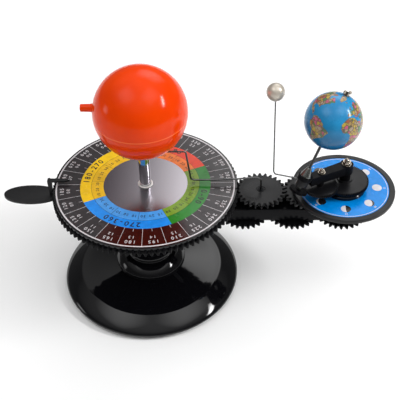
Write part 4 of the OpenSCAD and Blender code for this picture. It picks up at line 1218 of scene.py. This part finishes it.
def globePiece():
    g = globe
    bm = bmesh.new()
    shareLayer = bm.verts.layers.float.new("landShare")
    paintedShadeLayer = bm.verts.layers.float.new("paintedShadeShare")
    rows = []
    for i in range(g["rows"] + 1):
        lat = -90 + 180 * i / g["rows"]
        r = g["radius"] * math.cos(math.radians(lat))
        z = g["s"] + g["radius"] * math.sin(math.radians(lat))
        ring = []
        for k in range(1 if i in (0, g["rows"]) else g["columns"]):
            lon = -180 + 360 * k / g["columns"]
            a = math.radians(lon + g["facing"])
            v = bm.verts.new((r * math.cos(a) * mm, r * math.sin(a) * mm, z * mm))
            v[shareLayer] = 1.0 if any(inside(lon, lat, shape) for shape in land.values()) else 0.0
            # painted shade share: grows southwards from the given latitude
            v[paintedShadeLayer] = min(max((g["shadeFrom"] - lat) / g["shadeOver"], 0), 1)
            ring.append(v)
        rows.append(ring)
    for a, b in zip(rows, rows[1:]):
        for k in range(g["columns"]):
            corners = [a[k % len(a)], a[(k + 1) % len(a)], b[(k + 1) % len(b)], b[k % len(b)]]
            bm.faces.new(list(dict.fromkeys(corners)))
    for v in bm.verts:
        v.co = tiltPlace @ v.co
    return finishMesh("globe", bm, globeMaterial(), "earth", ["earth_ball"])


globePiece()
print("globe made")


# Moon: a pearl bead on its wire

moon = {"radius": 9.75, "orbit": 66.4, "s": 77.2, "wireRadius": 0.75, "bend": 2.5, "grip": 3}
moonMiddle = tiltPlace.inverted() @ ((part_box("moon_ball")[0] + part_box("moon_ball")[1]) / 2)
moonPlace = tiltPlace @ Matrix.Rotation(math.atan2(moonMiddle.y, moonMiddle.x), 4, "Z")
pearl, pearlShader = makeMaterial("pearl",
                                  {"Coat Weight": 0.5, "Coat Roughness": 0.06, "IOR": 1.6,
                                   "Roughness": 0.34,
                                            "Metallic": 0.35})
# painted shade: the bead's colour darkens towards its outline as seen from the camera
paintedRimShade = addNode(pearl, "ShaderNodeLayerWeight", inputs={"Blend": 0.45})
addTone(pearl, pearlShader, paintedRimShade.outputs["Facing"], (0.62, 0.56, 0.47), (0.34, 0.29, 0.24))
addBump(pearl, pearlShader, objectNoise(pearl, 500, 3), 0.05, 0.0001)
moonBm = bmesh.new()
addBall(moonBm, moon["radius"], 40, 72,
        moonPlace @ Matrix.Translation((moon["orbit"] * mm, 0, moon["s"] * mm)))
finishMesh("moonBead", moonBm, pearl, "moon", ["moon_ball"])
wireReach = moon["radius"] - moon["grip"]
wireEnd = (moon["orbit"] - wireReach * 0.38, moon["s"] - wireReach * 0.925)
moonPath = [(4, 0.9), (7.5, 0.9), (30.5, -6.4), (33, -4.2), wireEnd]
wire("moonWire", [(x, 0, z) for x, z in moonPath], moon["wireRadius"], moon["bend"], wireSteel, "moon",
     ["moon_wire"], moonPlace)
print("moon made")


# Domed nuts on washers, the ferrule and the moon's collar

def addNut(bm, placed, nut):
    # washer, hexagon with chamfered corners and a dome, standing on its own z = 0
    seatTop, across, dome = nut["washerHigh"], nut["across"], nut["dome"]
    top = seatTop + nut["high"]
    made = addLathe(bm, softened([(0, 0), (nut["washer"], 0), (nut["washer"], seatTop), (0, seatTop)],
                                 0.25), 48)
    corner = across / math.cos(math.radians(30))
    rows = [(seatTop, across * 1.03), (seatTop + 0.35, corner), (top - 0.5, corner), (top, across * 0.98)]
    rings = []
    for z, reach in rows:
        ring = []
        for k in range(48):
            a = tau * k / 48
            r = min(across / math.cos(a % (tau / 6) - tau / 12), reach)
            ring.append(bm.verts.new((r * math.cos(a) * mm, r * math.sin(a) * mm, z * mm)))
        rings.append(ring)
        made += ring
    for a, b in zip(rings, rings[1:]):
        for k in range(48):
            bm.faces.new((a[k], a[(k + 1) % 48], b[(k + 1) % 48], b[k]))
    bm.faces.new(rings[0][::-1])
    bm.faces.new(rings[-1])
    domeLow, domeHigh = top - 0.3, dome * 1.05
    cap = [(0, domeLow), (dome, domeLow)]
    for degrees in range(10, 90, 8):
        a = math.radians(degrees)
        cap.append((dome * math.cos(a), domeLow + domeHigh * math.sin(a)))
    made += addLathe(bm, cap + [(0, domeLow + domeHigh)], 40)
    for v in made:
        v.co = placed @ v.co


bridgeNut = {"washer": 5.2, "washerHigh": 0.8, "across": 4.1, "high": 3.4, "dome": 3.3}
relayNut = {"washer": 4.1, "washerHigh": 0.8, "across": 3.0, "high": 2.4, "dome": 2.5}
for name, nut, node, x, y in (("bridgeNut", bridgeNut, "bridge_nut", armLength, 0),
                              ("relayNut", relayNut, "relay_nut", relayAt.x, relayAt.y)):
    nutBm = bmesh.new()
    addNut(nutBm, Matrix.Translation((x * mm, y * mm, low(node).z * mm)), nut)
    finishMesh(name, nutBm, nutChrome, "carriage", [node])
ferrule = {"tube": 3, "low": -8.9, "seat": 7.8, "rim": 6.2, "top": 2.7, "topHeight": 18.5, "bore": 1.55}


def ferruleProfile():
    f = ferrule
    return softened([(f["bore"], f["low"], 0.2), (f["tube"], f["low"], 0.4), (f["tube"], f["seat"], 0.05),
                     (f["rim"], f["seat"], 0.3), (f["rim"], f["seat"] + 1.2, 0.5),
                     (f["top"] + 0.15, f["topHeight"] - 0.6, 0.4),
                     (f["top"] - 0.5, f["topHeight"] + 0.3, 0.3),
                     (f["bore"], f["topHeight"] + 0.4, 0.1)], 0.3)


lathe("ferruleCone", ferruleProfile(), ferruleMetal, "carriage", ["ferrule"], 64,
      placed=tiltPlace)
collar = {"low": -4.2, "high": 3.6, "radius": 6.5, "bore": 3.2, "edge": 0.8}
lathe("moonCollar", softened([(collar["bore"], collar["low"], 0.3), (collar["radius"], collar["low"]),
                              (collar["radius"], collar["high"]), (collar["bore"], collar["high"], 0.3)],
                             collar["edge"]),
      satinBlack, "moon", ["moon_collar"], 64, placed=moonPlace)


# CAD nodes that stay as they are take these finishes

kept = {glossBlack: ["phase_seat"], shadeBlack: ["earth_gear", "bridge", "first_axle", "second_axle"],
        satinBlack: ["pointer", "disc_pillars"],
        gearBlack: ["drive_pinion", "relay_pinion"],
        bearingPlastic: ["arm_bush", "spindle_bush"], castIron: ["ballast_ring"],
        pinSteel: ["column_bolt", "idler_pins", "carriage_spindle", "relay_pin", "sunray_collar"],
        darkSteel: ["earth_rod"], nutChrome: ["earth_nut"]}
for material, nodes in kept.items():
    for node in nodes:
        slots = frame["nodes"][node].data.materials
        slots.clear()
        slots.append(material)


# Studio: pale floor, soft lights, and a camera where the photograph was taken from

studio = {"floor": 8000, "floorTone": 0.97}
floorBm = bmesh.new()
half = studio["floor"] / 2
floorBm.faces.new([floorBm.verts.new((x * mm, y * mm, -0.0001)) for x,
                   y in ((-half, -half), (half, -half), (half, half), (-half, half))])
floorMaterial, floorShader = makeMaterial("paleFloor", {"Roughness": 0.75})
addTone(floorMaterial, floorShader, mapped(floorMaterial, objectNoise(floorMaterial, 3, 3), 0.3, 0.7, 0, 1),
        (studio["floorTone"],) * 3, (studio["floorTone"] + 0.03,) * 3)
floor = finishMesh("studioFloor", floorBm, floorMaterial, None)

world = bpy.data.worlds.new("paleRoom")
world.use_nodes = True
room = world.node_tree
backdrop = room.nodes["Background"]
backdrop.inputs["Color"].default_value = (1, 1, 1, 1)
direction = room.nodes.new("ShaderNodeTexCoord")
heights = room.nodes.new("ShaderNodeSeparateXYZ")
brightness = room.nodes.new("ShaderNodeMapRange")
for socket, value in {"From Min": 0.45, "From Max": 1.0, "To Min": 0.16, "To Max": 1.1}.items():
    brightness.inputs[socket].default_value = value
room.links.new(direction.outputs["Generated"], heights.inputs["Vector"])
room.links.new(heights.outputs["Z"], brightness.inputs["Value"])
room.links.new(brightness.outputs["Result"], backdrop.inputs["Strength"])
bpy.context.scene.view_settings.view_transform = "Standard"
bpy.context.scene.world = world


def fadeEdges(data):
    # strength falls off to nothing at the panel's four edges, as 36 u (1 - u) v (1 - v)
    data.use_nodes = True
    tree = data.node_tree
    emission = next(n for n in tree.nodes if n.type == "EMISSION")
    place = tree.nodes.new("ShaderNodeNewGeometry")
    split = tree.nodes.new("ShaderNodeSeparateXYZ")
    tree.links.new(place.outputs["Parametric"], split.inputs[0])
    arches = []
    for axis in ("X", "Y"):
        rest = tree.nodes.new("ShaderNodeMath")
        rest.operation = "SUBTRACT"
        rest.inputs[0].default_value = 1
        tree.links.new(split.outputs[axis], rest.inputs[1])
        arch = tree.nodes.new("ShaderNodeMath")
        arch.operation = "MULTIPLY"
        tree.links.new(split.outputs[axis], arch.inputs[0])
        tree.links.new(rest.outputs[0], arch.inputs[1])
        arches.append(arch)
    both = tree.nodes.new("ShaderNodeMath")
    both.operation = "MULTIPLY"
    for socket, arch in zip(both.inputs, arches):
        tree.links.new(arch.outputs[0], socket)
    scaled = tree.nodes.new("ShaderNodeMath")
    scaled.operation = "MULTIPLY"
    scaled.inputs[1].default_value = 36
    tree.links.new(both.outputs[0], scaled.inputs[0])
    tree.links.new(scaled.outputs[0], emission.inputs["Strength"])


def softLight(name, place, aim, width, height, power, turn=0):
    data = bpy.data.lights.new(name, "AREA")
    data.shape = "RECTANGLE"
    data.size = width
    data.size_y = height
    data.energy = power
    light = putInScene(name, data)
    light.location = place
    light.rotation_mode = "QUATERNION"
    facing = (Vector(aim) - Vector(place)).to_track_quat("-Z", "Y")
    light.rotation_quaternion = facing @ Matrix.Rotation(math.radians(turn), 3, "Z").to_quaternion()
    fadeEdges(data)


softLight("keyRight", (1.75, -0.25, 1.4), (0, 0, 0.2), 0.3, 1.0, 22, -45)
softLight("fillLeft", (-1.6, -0.1, 0.45), (0, 0, 0.22), 0.5, 0.4, 1.2)
softLight("backPanel", (0.7, 1.95, 1.95), (0.05, 0, 0.1), 2.2, 1.8, 16)
softLight("overheadLeft", (-0.95, -0.4, 2.1), (0.05, 0, 0.1), 1.8, 1.4, 7)
softLight("overheadRight", (0.95, -0.4, 2.1), (0.05, 0, 0.1), 1.8, 1.4, 7)

view = {"lens": 71.65, "distance": 1.00001, "elevation": 41.81, "azimuth": 1.57, "roll": -0.92,
        "aim": (0.058799, 0.069086, 0.06)}
up, side = math.radians(view["elevation"]), math.radians(view["azimuth"])
back = Vector((math.sin(side) * math.cos(up), -math.cos(side) * math.cos(up), math.sin(up)))
right = Vector((math.cos(side), math.sin(side), 0))
upward = back.cross(right)
roll = math.radians(view["roll"])
camera = putInScene("camera", bpy.data.cameras.new("camera"))
camera.data.lens = view["lens"]
camera.data.sensor_width = 36
camera.data.clip_start = 0.05
camera.data.clip_end = 20
turned = Matrix((right * math.cos(roll) + upward * math.sin(roll),
                 upward * math.cos(roll) - right * math.sin(roll), back)).transposed()
camera.matrix_world = Matrix.Translation(Vector(view["aim"]) + back * view["distance"]) @ turned.to_4x4()
bpy.context.scene.camera = camera
print("studio set")
